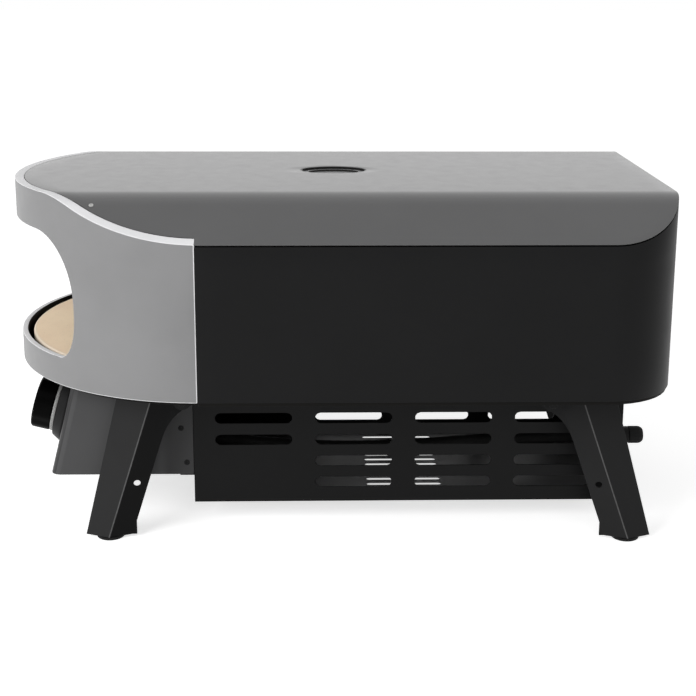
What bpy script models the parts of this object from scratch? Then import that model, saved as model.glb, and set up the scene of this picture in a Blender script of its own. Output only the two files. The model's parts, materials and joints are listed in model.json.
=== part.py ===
"""Portable gas pizza oven with a turning stone, on four folding legs.

The front is half round, struck from the axis of the stone. A grey band with the wide mouth
closes it, a black sheet wraps the sides and the back, and a grey cover with sloping shoulders
lies on both. A narrow vented housing hangs under the floor with the gas line and the motor.

Metres, +Z up, the mouth towards -Y, the origin on the ground under the middle of the body.
"""

import math

import bmesh
import bpy
from mathutils import Matrix, Vector

# Body
BODY_WIDTH = 0.434
BODY_LENGTH = 0.702
BODY_DEPTH = 0.201
ROOF_FOLD_WIDTH = 0.312
ROOF_BEND_RADIUS = 0.058
SHOULDER_DROP = 0.0393
REAR_CORNER_RADIUS = 0.076
SHEET = 0.0015
FIT_GAP = 0.0003
MERGE_DISTANCE = 0.00001
OVERRUN = 0.010

# Front band and its mouth
BAND_WALL = 0.006
BAND_RIM_WIDTH = 0.010
BAND_RIM_SIDE_WIDTH = 0.0078
BAND_RIM_DEPTH = 0.008
BAND_SETBACK = 0.005
MOUTH_WIDTH = 0.344
MOUTH_HEIGHT = 0.1297
MOUTH_SILL_RISE = 0.0305
MOUTH_UPPER_CORNER_WIDTH = 0.046
MOUTH_LOWER_CORNER_WIDTH = 0.018
MOUTH_LOWER_CORNER_HEIGHT = 0.050
CORNER_POWER = 2.4

# Floor pan, stone and the drive under it
PAN_RISE = 0.002
PAN_LIP_DROP = 0.004
STONE_CLEARANCE = 0.006
STONE_THICKNESS = 0.0132
STONE_SINK = 0.002
STONE_BEVEL = 0.0015
TURNTABLE_THICKNESS = 0.003
TURNTABLE_RADIUS_SHARE = 0.62
TURNTABLE_WINDOW_SHARES = (0.34, 0.86)
TURNTABLE_ARM_ANGLE = math.radians(24)
TURNTABLE_ARMS = 4
HUB_RADIUS = 0.017
SHAFT_RADIUS = 0.006
BEARING_RADIUS = 0.010
BEARING_FLANGE_RADIUS = 0.015
BEARING_FLANGE_THICKNESS = 0.0015
RUNNING_GAP = 0.0003
GEARBOX_RADIUS = 0.031
GEARBOX_HEIGHT = 0.022
MOTOR_RADIUS = 0.018
MOTOR_HEIGHT = 0.032
BATTERY_BOX_SIZE = (0.036, 0.150, 0.036)
BATTERY_BOX_LEAD = 0.060
BATTERY_LID_THICKNESS = 0.003

# Cooking chamber and its burner
LINER_SHEET = 0.0012
LINER_ROOF_DROP = 0.029
LINER_SHOULDER_WIDTH = 0.030
LINER_SHOULDER_FALL = 0.022
LINER_SIDE_GAP = 0.0045
LINER_REACH = 0.096
BURNER_SETBACK = 0.040
BURNER_RADIUS = 0.012
BURNER_LENGTH_SHARE = 0.66
BURNER_RISE = 0.020
BURNER_PORT_RADIUS = 0.0022
BURNER_PORTS = 9
BURNER_LEG_THICKNESS = 0.002
BURNER_LEG_WIDTH = 0.016
GUARD_LEAD = 0.030
GUARD_HEIGHT = 0.058
GUARD_FOOT = 0.012
GUARD_LENGTH_SHARE = 0.78
PIPE_RADIUS = 0.0055
ELECTRODE_RADIUS = 0.004
ELECTRODE_TIP_RADIUS = 0.0012
ELECTRODE_TIP_LENGTH = 0.012
ELECTRODE_TAIL = 0.014
ELECTRODE_OFFSET = 0.034
ELECTRODE_GAP = 0.004
PIPE_BEND = 0.016
PIPE_DROP = 0.022

# Oval dish in the roof
DISH_LENGTH = 0.074
DISH_WIDTH = 0.050
DISH_LEDGE = 0.0085
DISH_DEPTH = 0.0022
DISH_STEP = 0.0016
DISH_DRAFT = 0.0006

# Vented housing
HOUSING_WIDTH = 0.2172
HOUSING_LEAD = 0.0196
HOUSING_REAR_INSET = 0.035
GROUND_CLEARANCE = 0.0267
FLANGE_WIDTH = 0.014
BOTTOM_FLANGE_WIDTH = 0.010
SLOT_LENGTH = 0.0842
SLOT_HEIGHT = 0.0118
SLOT_COLUMN_PITCH = 0.1091
SLOT_ROW_PITCH = 0.0247
SLOT_MARGIN = 0.0234
SLOT_TOP_DROP = 0.0546
SLOT_COLUMNS = 4
SLOT_ROWS = 4
SHORT_COLUMN_ROWS = 2
BASE_SLOT_LENGTH = 0.085
BASE_SLOT_WIDTH = 0.0075
BASE_SLOT_PITCH = 0.015
BASE_SLOT_LEAD = 0.2331
BASE_SLOTS = 12

# Control box, gas valve and knob
CONTROL_REACH = 0.1266
CONTROL_DEPTH = 0.1188
CONTROL_LEAN = math.radians(14.4)
CONTROL_BEVEL = 0.0105
CONTROL_LAP = 0.0155
KNOB_OFFSET = 0.060
KNOB_DROP = 0.0585
KNOB_RADIUS = 0.0288
KNOB_LENGTH = 0.0215
KNOB_CHAMFER = 0.002
KNOB_GRIP_DEPTH = 0.0016
KNOB_GRIPS = 6
KNOB_STANDOFF = 0.0007
KNOB_RING_RADIUS = 0.0288
KNOB_RING_THICKNESS = 0.003
KNURL_DEPTH = 0.0004
KNURLS = 48
BEZEL_RADIUS = 0.0376
BEZEL_FACE_RADIUS = 0.0322
BEZEL_HEIGHT = 0.0115
BEZEL_FOOT = 0.002
BEZEL_BORE_GAP = 0.0014
KNOB_TRAVEL = 0.003
STEM_RADIUS = 0.004
STEM_HEAD_LENGTH = 0.008
STEM_CLEARANCE = 0.0005
VALVE_RADIUS = 0.015
VALVE_LENGTH = 0.038
VALVE_TAIL_RADIUS = 0.009
VALVE_TAIL_LENGTH = 0.012
VALVE_BORE_DEPTH = 0.012
SWITCH_OFFSET = 0.070
SWITCH_DROP = 0.0585
SWITCH_WIDTH = 0.012
SWITCH_HEIGHT = 0.020
SWITCH_RIM = 0.003
SWITCH_WALL = 0.0015
SWITCH_STAND = 0.0015
SWITCH_PIVOT_DEPTH = 0.0005
SWITCH_LIP_DEGREES = 25
SWITCH_TILT_DEGREES = 10

# Gas inlet and hose
INLET_OFFSET = 0.060
INLET_DROP = 0.0935
INLET_NUT_RADIUS = 0.0125
INLET_NUT_LENGTH = 0.008
INLET_PIPE_RADIUS = 0.0095
INLET_SPIGOT_RADIUS = 0.0065
INLET_TAIL_LENGTH = 0.010
CAP_RADIUS = 0.0097
CAP_LENGTH = 0.0114
CAP_NOSE_RADIUS = 0.0072
CAP_NOSE_LENGTH = 0.005
CAP_END_INSET = 0.0006
CAP_RIBS = 16
CAP_RIB_DEPTH = 0.0005
HOSE_RADIUS = 0.0078
HOSE_INLET_PULL = 0.180
HOSE_VALVE_PULL = 0.260

# Folding legs
LEG_HEIGHT = 0.178
LEG_SHEET = 0.002
PIVOT_DROP = 0.018
FRONT_LEG_INSET = 0.067
REAR_LEG_INSET = 0.055
FRONT_PIVOT_LEAD = 0.026
REAR_PIVOT_INSET = 0.1236
LEG_FOLD_OFFSET = 0.0331
FRONT_LEG_SPLAY = math.radians(17.5)
REAR_LEG_SPLAY = math.radians(19.2)
LEG_OUTER_TOP_WIDTH = 0.0384
LEG_OUTER_FOOT_WIDTH = 0.026
LEG_INNER_WIDTH = 0.0241
LEG_FACE_ANGLE = math.radians(23)
LEG_TOP_RISE = 0.012
LEG_FOOT_REVEAL = 0.0036
LEG_STEP_HEIGHT = 0.0145
LEG_TAB_RADIUS = 0.013
LEG_TAB_TAPER = 0.049
LEG_KNEE_DROP = 0.021
LEG_HOLE_RADIUS = 0.0036
LEG_HOLE_HEIGHT = 0.064
BARREL_RADIUS = 0.008
PIN_RADIUS = 0.003
PIN_HEAD_RADIUS = 0.0055
PIN_HEAD_LENGTH = 0.002
BRACKET_SHEET = 0.002
BRACKET_LENGTH = 0.026
BRACKET_CHEEK_RADIUS = 0.010
BRACKET_WIDTH = 0.026
LEG_BRACKET_REACH = 0.005
FOOT_RADIUS = 0.015
FOOT_CHAMFER = 0.0008
FOOT_PLUG_RADIUS = 0.0105
FOOT_PLUG_HEIGHT = 0.012

# Facets
ROUND_STEPS = 40
SMALL_STEPS = 16
BEND_STEPS = 6
SLOT_END_STEPS = 5
HOSE_STEPS = 24
PORT_STEPS = 8
HALF_TURN = math.pi
QUARTER_TURN = HALF_TURN / 2

# Places worked out from the sizes
HALF_WIDTH = BODY_WIDTH / 2
FRONT_Y = -BODY_LENGTH / 2
REAR_Y = BODY_LENGTH / 2
STONE_Y = FRONT_Y + HALF_WIDTH
UNDERSIDE = LEG_HEIGHT
BODY_TOP = UNDERSIDE + BODY_DEPTH
SEAM_Y = STONE_Y - BAND_SETBACK
SILL = UNDERSIDE + MOUTH_SILL_RISE
BAND_INNER_RADIUS = HALF_WIDTH - BAND_WALL
PAN_BOTTOM = UNDERSIDE + PAN_RISE
PAN_TOP = PAN_BOTTOM + SHEET
HANG_Z = PAN_BOTTOM - FIT_GAP
STONE_TOP = SILL - STONE_SINK
STONE_BOTTOM = STONE_TOP - STONE_THICKNESS
STONE_RADIUS = BAND_INNER_RADIUS - STONE_CLEARANCE
TURNTABLE_TOP = STONE_BOTTOM - FIT_GAP
TURNTABLE_BOTTOM = TURNTABLE_TOP - TURNTABLE_THICKNESS
TURNTABLE_RADIUS = STONE_RADIUS * TURNTABLE_RADIUS_SHARE
BEARING_TOP = PAN_TOP + FIT_GAP + BEARING_FLANGE_THICKNESS
HOUSING_HALF = HOUSING_WIDTH / 2
HOUSING_FRONT_Y = STONE_Y - HOUSING_LEAD
HOUSING_REAR_Y = REAR_Y - HOUSING_REAR_INSET
HOUSING_BOTTOM = GROUND_CLEARANCE
HOUSING_INNER = HOUSING_HALF - SHEET
CONTROL_BOTTOM = UNDERSIDE - CONTROL_DEPTH
CONTROL_SLOPE = math.tan(CONTROL_LEAN)
CONTROL_TOP_Y = HOUSING_FRONT_Y - CONTROL_REACH
LINER_REAR_Y = STONE_Y + STONE_RADIUS + LINER_REACH
BURNER_Y = LINER_REAR_Y - BURNER_SETBACK
BURNER_HALF = HALF_WIDTH * BURNER_LENGTH_SHARE
BURNER_Z = PAN_TOP + BURNER_RISE + BURNER_RADIUS
ELECTRODE_Y = BURNER_Y - BURNER_RADIUS - ELECTRODE_GAP - ELECTRODE_RADIUS
GUARD_Y = BURNER_Y - BURNER_RADIUS - GUARD_LEAD
PIVOT_Z = UNDERSIDE - PIVOT_DROP
INLET_Z = UNDERSIDE - INLET_DROP

# Colours, roughness and metallic value of each finish
FINISHES = {
    "band_grey": ((0.30, 0.30, 0.31), 0.45, 0.2),
    "cover_grey": ((0.20, 0.20, 0.205), 0.42, 0.3),
    "wall_black": ((0.016, 0.016, 0.017), 0.5, 0.1),
    "housing_black": ((0.012, 0.012, 0.013), 0.55, 0.1),
    "control_grey": ((0.055, 0.055, 0.057), 0.5, 0.2),
    "pan_black": ((0.02, 0.02, 0.02), 0.6, 0.2),
    "liner_steel": ((0.35, 0.34, 0.33), 0.4, 0.9),
    "cordierite": ((0.68, 0.55, 0.40), 0.85, 0.0),
    "plated_steel": ((0.50, 0.50, 0.50), 0.35, 0.9),
    "burner_steel": ((0.38, 0.37, 0.36), 0.35, 0.95),
    "ceramic_white": ((0.85, 0.84, 0.80), 0.3, 0.0),
    "brass": ((0.62, 0.46, 0.20), 0.35, 0.95),
    "rubber_black": ((0.012, 0.012, 0.012), 0.75, 0.0),
    "plastic_black": ((0.010, 0.010, 0.010), 0.4, 0.0),
    "leg_black": ((0.022, 0.022, 0.023), 0.5, 0.15),
}


def clear_scene():
    """Removes the objects that the file opens with."""
    for found in list(bpy.data.objects):
        bpy.data.objects.remove(found, do_unlink=True)


def make_collection(name):
    collection = bpy.data.collections.new(name)
    bpy.context.scene.collection.children.link(collection)
    return collection


def finish(name):
    """The Principled material of this finish, made once."""
    material = bpy.data.materials.get(name)
    if material:
        return material
    colour, roughness, metallic = FINISHES[name]
    material = bpy.data.materials.new(name)
    material.use_nodes = True
    shader = material.node_tree.nodes["Principled BSDF"]
    shader.inputs["Base Color"].default_value = (*colour, 1)
    shader.inputs["Roughness"].default_value = roughness
    shader.inputs["Metallic"].default_value = metallic
    material.diffuse_color = (*colour, 1)
    return material


def mesh_object(name, mesh):
    """Puts a mesh in the scene as a cutter. A call of part() makes it a sub-part."""
    made = bpy.data.objects.new(name, mesh)
    made.hide_render = True
    made.display_type = "WIRE"
    CUTTERS.objects.link(made)
    return made


def part(made, name, material, origin=None):
    """Turns a finished shape into the named sub-part, with its origin where the piece turns."""
    made.name = name
    made.data.name = name
    made.hide_render = False
    made.display_type = "TEXTURED"
    CUTTERS.objects.unlink(made)
    OVEN.objects.link(made)
    made.data.materials.clear()
    made.data.materials.append(finish(material))
    made.data.shade_smooth()
    made.data.set_sharp_from_angle(angle=math.radians(30))
    if origin is not None:
        origin = Vector(origin)
        made.data.transform(Matrix.Translation(-origin))
        made.location = origin
    return made


def mesh_from(name, bm):
    bmesh.ops.remove_doubles(bm, verts=bm.verts, dist=MERGE_DISTANCE)
    bmesh.ops.recalc_face_normals(bm, faces=bm.faces)
    mesh = bpy.data.meshes.new(name)
    bm.to_mesh(mesh)
    bm.free()
    return mesh_object(name, mesh)


def block(name, low, high):
    """A box between two corners."""
    bm = bmesh.new()
    bmesh.ops.create_cube(bm, size=1)
    size = [top - bottom for bottom, top in zip(low, high)]
    centre = [(top + bottom) / 2 for bottom, top in zip(low, high)]
    shape = Matrix.Translation(centre) @ Matrix.Diagonal((*size, 1))
    bmesh.ops.transform(bm, matrix=shape, verts=bm.verts)
    return mesh_from(name, bm)


def rod(name, start, end, radius, end_radius=None, steps=SMALL_STEPS):
    """A round bar or cone from one point to another."""
    start = Vector(start)
    along = Vector(end) - start
    bm = bmesh.new()
    bmesh.ops.create_cone(
        bm,
        cap_ends=True,
        segments=steps,
        radius1=radius,
        radius2=radius if end_radius is None else end_radius,
        depth=along.length,
    )
    turn = along.to_track_quat("Z", "Y").to_matrix().to_4x4()
    bmesh.ops.transform(bm, matrix=Matrix.Translation(start + along / 2) @ turn, verts=bm.verts)
    return mesh_from(name, bm)


# How a flat outline's own axes lie in the model, and which way its thickness runs
PLANES = {
    "XY": Matrix.Identity(4),
    "XZ": Matrix(((1, 0, 0, 0), (0, 0, -1, 0), (0, 1, 0, 0), (0, 0, 0, 1))),
    "YZ": Matrix(((0, 0, 1, 0), (1, 0, 0, 0), (0, 1, 0, 0), (0, 0, 0, 1))),
}


def outline_plate(name, outlines, start, end, plane="XY"):
    """A plate with one outer outline and any number of holes, from one level to another."""
    curve = bpy.data.curves.new(name, "CURVE")
    curve.dimensions = "2D"
    curve.fill_mode = "BOTH"
    curve.extrude = abs(end - start) / 2
    for outline in outlines:
        spline = curve.splines.new("POLY")
        spline.points.add(len(outline) - 1)
        for point, (across, up) in zip(spline.points, outline):
            point.co = (across, up, 0, 1)
        spline.use_cyclic_u = True
    flat = bpy.data.objects.new(name, curve)
    bpy.context.scene.collection.objects.link(flat)
    graph = bpy.context.evaluated_depsgraph_get()
    mesh = bpy.data.meshes.new_from_object(flat.evaluated_get(graph))
    bpy.data.objects.remove(flat, do_unlink=True)
    bm = bmesh.new()
    bm.from_mesh(mesh)
    bpy.data.meshes.remove(mesh)
    middle = Matrix.Translation((0, 0, (start + end) / 2))
    if plane == "XZ":
        middle = Matrix.Translation((0, (start + end) / 2, 0))
    if plane == "YZ":
        middle = Matrix.Translation(((start + end) / 2, 0, 0))
    bmesh.ops.transform(bm, matrix=middle @ PLANES[plane], verts=bm.verts)
    return mesh_from(name, bm)


def turned(name, profile, base, axis, steps=SMALL_STEPS):
    """A profile of (radius, height) points, turned about an axis. It runs down the outer side.

    One that starts on the axis ends there, and one that starts off it closes on itself.
    """
    mesh = bpy.data.meshes.new(name)
    points = [(radius, 0, height) for radius, height in profile]
    edges = [(i, i + 1) for i in range(len(points) - 1)]
    if profile[0][0] > 0:
        edges.append((len(points) - 1, 0))
    mesh.from_pydata(points, edges, [])
    made = mesh_object(name, mesh)
    screw = made.modifiers.new("Turn", "SCREW")
    screw.angle = 2 * HALF_TURN
    screw.steps = steps
    screw.render_steps = steps
    screw.use_merge_vertices = True
    screw.merge_threshold = MERGE_DISTANCE
    screw.use_normal_calculate = True
    turn = Vector(axis).to_track_quat("Z", "Y").to_matrix().to_4x4()
    return applied(made, Matrix.Translation(base) @ turn)


def lofted(name, rings):
    """A solid through rings of equally many points, closed by the first ring and the last."""
    bm = bmesh.new()
    loops = [[bm.verts.new(point) for point in ring] for ring in rings]
    for lower, upper in zip(loops, loops[1:]):
        for i in range(len(lower)):
            bm.faces.new((lower[i - 1], lower[i], upper[i], upper[i - 1]))
    bm.faces.new(loops[0])
    bm.faces.new(loops[-1])
    return mesh_from(name, bm)


def tube(name, points, radius, resolution=2):
    """A round hose or pipe along points, with closed ends."""
    curve = bpy.data.curves.new(name, "CURVE")
    curve.dimensions = "3D"
    curve.bevel_depth = radius
    curve.bevel_resolution = resolution
    curve.use_fill_caps = True
    spline = curve.splines.new("POLY")
    spline.points.add(len(points) - 1)
    for point, place in zip(spline.points, points):
        point.co = (*place, 1)
    made = bpy.data.objects.new(name, curve)
    bpy.context.scene.collection.objects.link(made)
    return applied(made, Matrix.Identity(4))


def applied(made, matrix):
    """The object's shape with its modifiers applied, moved into place, as a plain mesh."""
    bpy.context.view_layer.update()
    graph = bpy.context.evaluated_depsgraph_get()
    mesh = bpy.data.meshes.new_from_object(made.evaluated_get(graph))
    name = made.name
    bpy.data.objects.remove(made, do_unlink=True)
    bm = bmesh.new()
    bm.from_mesh(mesh)
    bpy.data.meshes.remove(mesh)
    bmesh.ops.transform(bm, matrix=matrix, verts=bm.verts)
    return mesh_from(name, bm)


def combine(target, other, operation):
    modifier = target.modifiers.new(operation.title(), "BOOLEAN")
    modifier.object = other
    modifier.operation = operation
    modifier.solver = "EXACT"
    return target


def cut(target, *cutters):
    for cutter in cutters:
        combine(target, cutter, "DIFFERENCE")
    return target


def join(target, *others):
    for other in others:
        combine(target, other, "UNION")
    return target


def keep_common(target, *others):
    for other in others:
        combine(target, other, "INTERSECT")
    return target


def arc(centre, radius, start, end, steps):
    """Points on a circle's arc, both ends included."""
    turn = (end - start) / steps
    return [
        (
            centre[0] + radius * math.cos(start + turn * step),
            centre[1] + radius * math.sin(start + turn * step),
        )
        for step in range(steps + 1)
    ]


def round_slot(centre, length, width):
    """A slot with round ends, lying along the first axis."""
    radius = width / 2
    half = length / 2 - radius
    right = arc((centre[0] + half, centre[1]), radius, -QUARTER_TURN, QUARTER_TURN, SLOT_END_STEPS)
    left = arc((centre[0] - half, centre[1]), radius, QUARTER_TURN, 3 * QUARTER_TURN, SLOT_END_STEPS)
    return right + left


def oval(length, width, steps=2 * SMALL_STEPS):
    """An ellipse about the middle, with its length along Y."""
    unit = arc((0, 0), 1, 0, 2 * HALF_TURN, steps)[:-1]
    return [(width / 2 * x, length / 2 * y) for x, y in unit]


def waved(radius, depth, waves, steps):
    """A round outline whose radius dips by a depth, this many times a turn."""
    turn = 2 * HALF_TURN / steps
    dips = [radius - depth * (1 + math.cos(waves * turn * step)) / 2 for step in range(steps)]
    return [(dip * math.cos(turn * step), dip * math.sin(turn * step)) for step, dip in enumerate(dips)]


def bezier_path(start, start_handle, end_handle, end, steps):
    """Points along a cubic Bezier curve, both ends included."""
    found = []
    for step in range(steps + 1):
        t = step / steps
        near = start * (1 - t) ** 3 + 3 * start_handle * t * (1 - t) ** 2
        found.append(near + 3 * end_handle * (1 - t) * t**2 + end * t**3)
    return found


def bent_path(corners, radius, steps):
    """A pipe's centre line: straight runs, with each corner rounded from this far before it."""
    found = [corners[0]]
    for before, corner, after in zip(corners, corners[1:], corners[2:]):
        first = corner + (before - corner).normalized() * radius
        last = corner + (after - corner).normalized() * radius
        for step in range(steps + 1):
            t = step / steps
            found.append(first * (1 - t) ** 2 + 2 * corner * t * (1 - t) + last * t**2)
    return [*found, corners[-1]]


def roof_line(inset):
    """The roof's section from left to right, moved inwards by an inset: flat, bend, shoulder."""
    shoulder = math.atan2(SHOULDER_DROP, HALF_WIDTH - ROOF_FOLD_WIDTH / 2)
    centre_x = ROOF_FOLD_WIDTH / 2 - ROOF_BEND_RADIUS * math.tan(shoulder / 2)
    centre_z = BODY_TOP - ROOF_BEND_RADIUS
    radius = ROOF_BEND_RADIUS - inset
    bend = arc((centre_x, centre_z), radius, QUARTER_TURN, QUARTER_TURN - shoulder, BEND_STEPS)
    last_x, last_z = bend[-1]
    reach = HALF_WIDTH + OVERRUN
    edge = (reach, last_z - (reach - last_x) * math.tan(shoulder))
    right = [*bend, edge]
    left = [(-x, z) for x, z in reversed(right)]
    return left + right


def under_roof(name, inset, bottom=UNDERSIDE - OVERRUN):
    """Everything under the roof line, the length of the body and a little more."""
    line = roof_line(inset)
    outline = [(line[0][0], bottom), *line, (line[-1][0], bottom)]
    return outline_plate(name, [outline], FRONT_Y - OVERRUN, REAR_Y + OVERRUN, "XZ")


def body_outline(inset):
    """The body's plan behind the band: straight sides and a back with round corners."""
    half = HALF_WIDTH - inset
    radius = REAR_CORNER_RADIUS - inset
    back = REAR_Y - inset
    right = arc((half - radius, back - radius), radius, 0, QUARTER_TURN, ROUND_STEPS // 4)
    left = [(-x, y) for x, y in reversed(right)]
    return [(half, SEAM_Y), *right, *left, (-half, SEAM_Y)]


def front_arc(radius, end_y=SEAM_Y):
    """The half-round front from its left end to its right end, up to a line across."""
    lift = math.asin((end_y - STONE_Y) / radius)
    return arc((0, STONE_Y), radius, -HALF_TURN - lift, lift, ROUND_STEPS)


def rim_front(gap):
    """The rim's inner edge in plan, up to the seam: an oval, because the rim is narrower at its sides."""
    half = HALF_WIDTH - BAND_RIM_SIDE_WIDTH - gap
    reach = HALF_WIDTH - BAND_RIM_WIDTH - gap
    lift = math.asin((SEAM_Y - STONE_Y) / reach)
    unit = arc((0, 0), 1, -HALF_TURN - lift, lift, ROUND_STEPS)
    return [(half * x, STONE_Y + reach * y) for x, y in unit]


def mouth_outline():
    """The mouth from the front: flat sill and top, sides that swell, corners as superellipses."""
    half = MOUTH_WIDTH / 2
    middle = SILL + MOUTH_LOWER_CORNER_HEIGHT
    upper_height = MOUTH_HEIGHT - MOUTH_LOWER_CORNER_HEIGHT

    def corner(width, height, start, end):
        found = []
        for step in range(2 * BEND_STEPS + 1):
            angle = start + (end - start) * step / (2 * BEND_STEPS)
            across = abs(math.cos(angle)) ** (2 / CORNER_POWER)
            up = math.copysign(abs(math.sin(angle)) ** (2 / CORNER_POWER), math.sin(angle))
            found.append((half - width + width * across, middle + height * up))
        return found

    lower = corner(MOUTH_LOWER_CORNER_WIDTH, MOUTH_LOWER_CORNER_HEIGHT, -QUARTER_TURN, 0)
    upper = corner(MOUTH_UPPER_CORNER_WIDTH, upper_height, 0, QUARTER_TURN)
    right = lower + upper[1:]
    return right + [(-x, z) for x, z in reversed(right)]


def make_front_band():
    """The half-round front, with a rim that follows the roof line and the mouth cut straight through."""
    low = UNDERSIDE - OVERRUN
    high = BODY_TOP + 2 * OVERRUN
    band = outline_plate("band", [front_arc(HALF_WIDTH)], UNDERSIDE, high)
    keep_common(band, under_roof("band_roof", 0))
    rim_length = BODY_WIDTH - 2 * BAND_RIM_WIDTH
    rim_width = BODY_WIDTH - 2 * BAND_RIM_SIDE_WIDTH
    rim = [(x, STONE_Y + y) for x, y in oval(rim_length, rim_width, 2 * ROUND_STEPS)]
    inside = outline_plate("band_inside", [rim], low, high)
    wall = arc((0, STONE_Y), BAND_INNER_RADIUS, 0, 2 * HALF_TURN, 2 * ROUND_STEPS)[:-1]
    under_rim = outline_plate("under_rim", [wall], low, high)
    keep_common(under_rim, under_roof("rim_underside", BAND_RIM_DEPTH, low - OVERRUN))
    mouth = outline_plate("mouth", [mouth_outline()], FRONT_Y - OVERRUN, STONE_Y, "XZ")
    cut(band, inside, under_rim, mouth)
    part(band, "front_band", "band_grey")


def make_top_cover():
    """The folded roof sheet: flat top and shoulders, half round in front and round-cornered behind."""
    cover = under_roof("cover", 0)
    cut(cover, under_roof("cover_inside", SHEET, UNDERSIDE - 2 * OVERRUN))
    high = BODY_TOP + OVERRUN
    plan = outline_plate("cover_plan", [rim_front(FIT_GAP) + body_outline(0)], UNDERSIDE - 3 * OVERRUN, high)
    hole = outline_plate("dish_hole", [oval(DISH_LENGTH, DISH_WIDTH)], UNDERSIDE, high)
    keep_common(cover, plan)
    cut(cover, hole)
    part(cover, "top_cover", "cover_grey")


def make_roof_dish():
    """The stepped oval pressing in the middle of the roof, with its flange under the cover."""
    top = BODY_TOP - FIT_GAP
    flange = BODY_TOP - SHEET - FIT_GAP
    ledge = BODY_TOP - DISH_DEPTH
    floor = ledge - DISH_STEP
    well = DISH_LEDGE + DISH_DRAFT
    steps = [
        (well + SHEET + DISH_DRAFT, floor),
        (well + SHEET, floor),
        (well, ledge),
        (FIT_GAP + SHEET + DISH_DRAFT, ledge),
        (FIT_GAP + SHEET, top),
        (FIT_GAP, top),
        (FIT_GAP, flange),
        (-DISH_LEDGE, flange),
        (-DISH_LEDGE, flange - SHEET),
        (FIT_GAP + DISH_DRAFT, flange - SHEET),
        (FIT_GAP + DISH_DRAFT, ledge - SHEET),
        (well - SHEET, ledge - SHEET),
        (well - SHEET, floor - SHEET),
    ]
    rings = []
    for inset, z in steps:
        outline = oval(DISH_LENGTH - 2 * inset, DISH_WIDTH - 2 * inset)
        rings.append([(x, y, z) for x, y in outline])
    part(lofted("dish", rings), "roof_dish", "cover_grey")


def make_body_wrap():
    """One sheet round both sides and the back, cut to the roof line."""
    outer = body_outline(0)
    inner = body_outline(SHEET)
    outline = [(x, y + FIT_GAP) if y == SEAM_Y else (x, y) for x, y in outer]
    outline += [(x, y + FIT_GAP) if y == SEAM_Y else (x, y) for x, y in reversed(inner)]
    wrap = outline_plate("wrap", [outline], UNDERSIDE, BODY_TOP + OVERRUN)
    keep_common(wrap, under_roof("wrap_roof", SHEET + FIT_GAP))
    part(wrap, "body_wrap", "wall_black")


def pan_outline(inset):
    """The pan's plan: inside the band in front, inside the wrapped sheet behind."""
    front = front_arc(BAND_INNER_RADIUS - FIT_GAP - inset, SEAM_Y + FIT_GAP + inset)
    seam = SEAM_Y + FIT_GAP + inset + SHEET
    behind = body_outline(SHEET + FIT_GAP + inset)
    return front + [(x, seam) if y == SEAM_Y else (x, y) for x, y in behind]


def make_floor_pan():
    """The floor with its edge turned down, holed for the shaft, the gas pipe and the electrode."""
    lip = UNDERSIDE - PAN_LIP_DROP
    pan = outline_plate("pan", [pan_outline(0)], lip, PAN_TOP)
    hollow = outline_plate("pan_hollow", [pan_outline(SHEET)], lip - OVERRUN, PAN_BOTTOM)
    cut(pan, hollow)
    passages = (
        (0, STONE_Y, BEARING_RADIUS),
        (0, BURNER_Y, PIPE_RADIUS),
        (ELECTRODE_OFFSET, ELECTRODE_Y, ELECTRODE_RADIUS),
    )
    for x, y, radius in passages:
        cut(pan, rod("passage", (x, y, lip - OVERRUN), (x, y, PAN_TOP + OVERRUN), radius + FIT_GAP))
    part(pan, "floor_pan", "pan_black")


def liner_section(inset):
    """The chamber's section from the front: upright sides, short shoulders and a flat roof."""
    half = HALF_WIDTH - SHEET - LINER_SIDE_GAP - inset
    top = BODY_TOP - LINER_ROOF_DROP - inset
    shoulder = [(half, top - LINER_SHOULDER_FALL), (half - LINER_SHOULDER_WIDTH, top)]
    return shoulder, half, top


def liner_shape(inset, bottom, front, back):
    """The chamber's section run from front to back: the hood's outside, or with an inset its inside."""
    shoulder, half, _ = liner_section(inset)
    mirrored = [(-x, z) for x, z in reversed(shoulder)]
    outline = [(half, bottom), *shoulder, *mirrored, (-half, bottom)]
    return outline_plate("liner_shape", [outline], front, back, "XZ")


def make_chamber_liner():
    """The steel hood over the stone: open in front to the mouth, closed at the sides and the back."""
    liner = liner_shape(0, PAN_TOP + FIT_GAP, FRONT_Y, LINER_REAR_Y)
    hollow = liner_shape(LINER_SHEET, PAN_TOP - OVERRUN, FRONT_Y - OVERRUN, LINER_REAR_Y - LINER_SHEET)
    cut(liner, hollow)
    back = LINER_REAR_Y + OVERRUN
    side = SEAM_Y + SHEET
    plan = front_arc(BAND_INNER_RADIUS - 2 * FIT_GAP)
    plan += [(HALF_WIDTH, side), (HALF_WIDTH, back), (-HALF_WIDTH, back), (-HALF_WIDTH, side)]
    keep_common(liner, outline_plate("liner_plan", [plan], PAN_TOP - 2 * OVERRUN, BODY_TOP))
    low = (-BODY_WIDTH, FRONT_Y - 2 * OVERRUN, PAN_TOP - OVERRUN)
    high = (BODY_WIDTH, SEAM_Y + OVERRUN, liner_section(0)[2] - LINER_SHOULDER_FALL)
    cut(liner, block("liner_opening", low, high))
    part(liner, "chamber_liner", "liner_steel")


def make_stone():
    """The round baking stone with broken edges."""
    profile = [
        (0, STONE_THICKNESS),
        (STONE_RADIUS - STONE_BEVEL, STONE_THICKNESS),
        (STONE_RADIUS, STONE_THICKNESS - STONE_BEVEL),
        (STONE_RADIUS, STONE_BEVEL),
        (STONE_RADIUS - STONE_BEVEL, 0),
        (0, 0),
    ]
    stone = turned("stone", profile, (0, STONE_Y, STONE_BOTTOM), (0, 0, 1), 2 * ROUND_STEPS)
    part(stone, "cooking_stone", "cordierite", (0, STONE_Y, STONE_BOTTOM))


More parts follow.
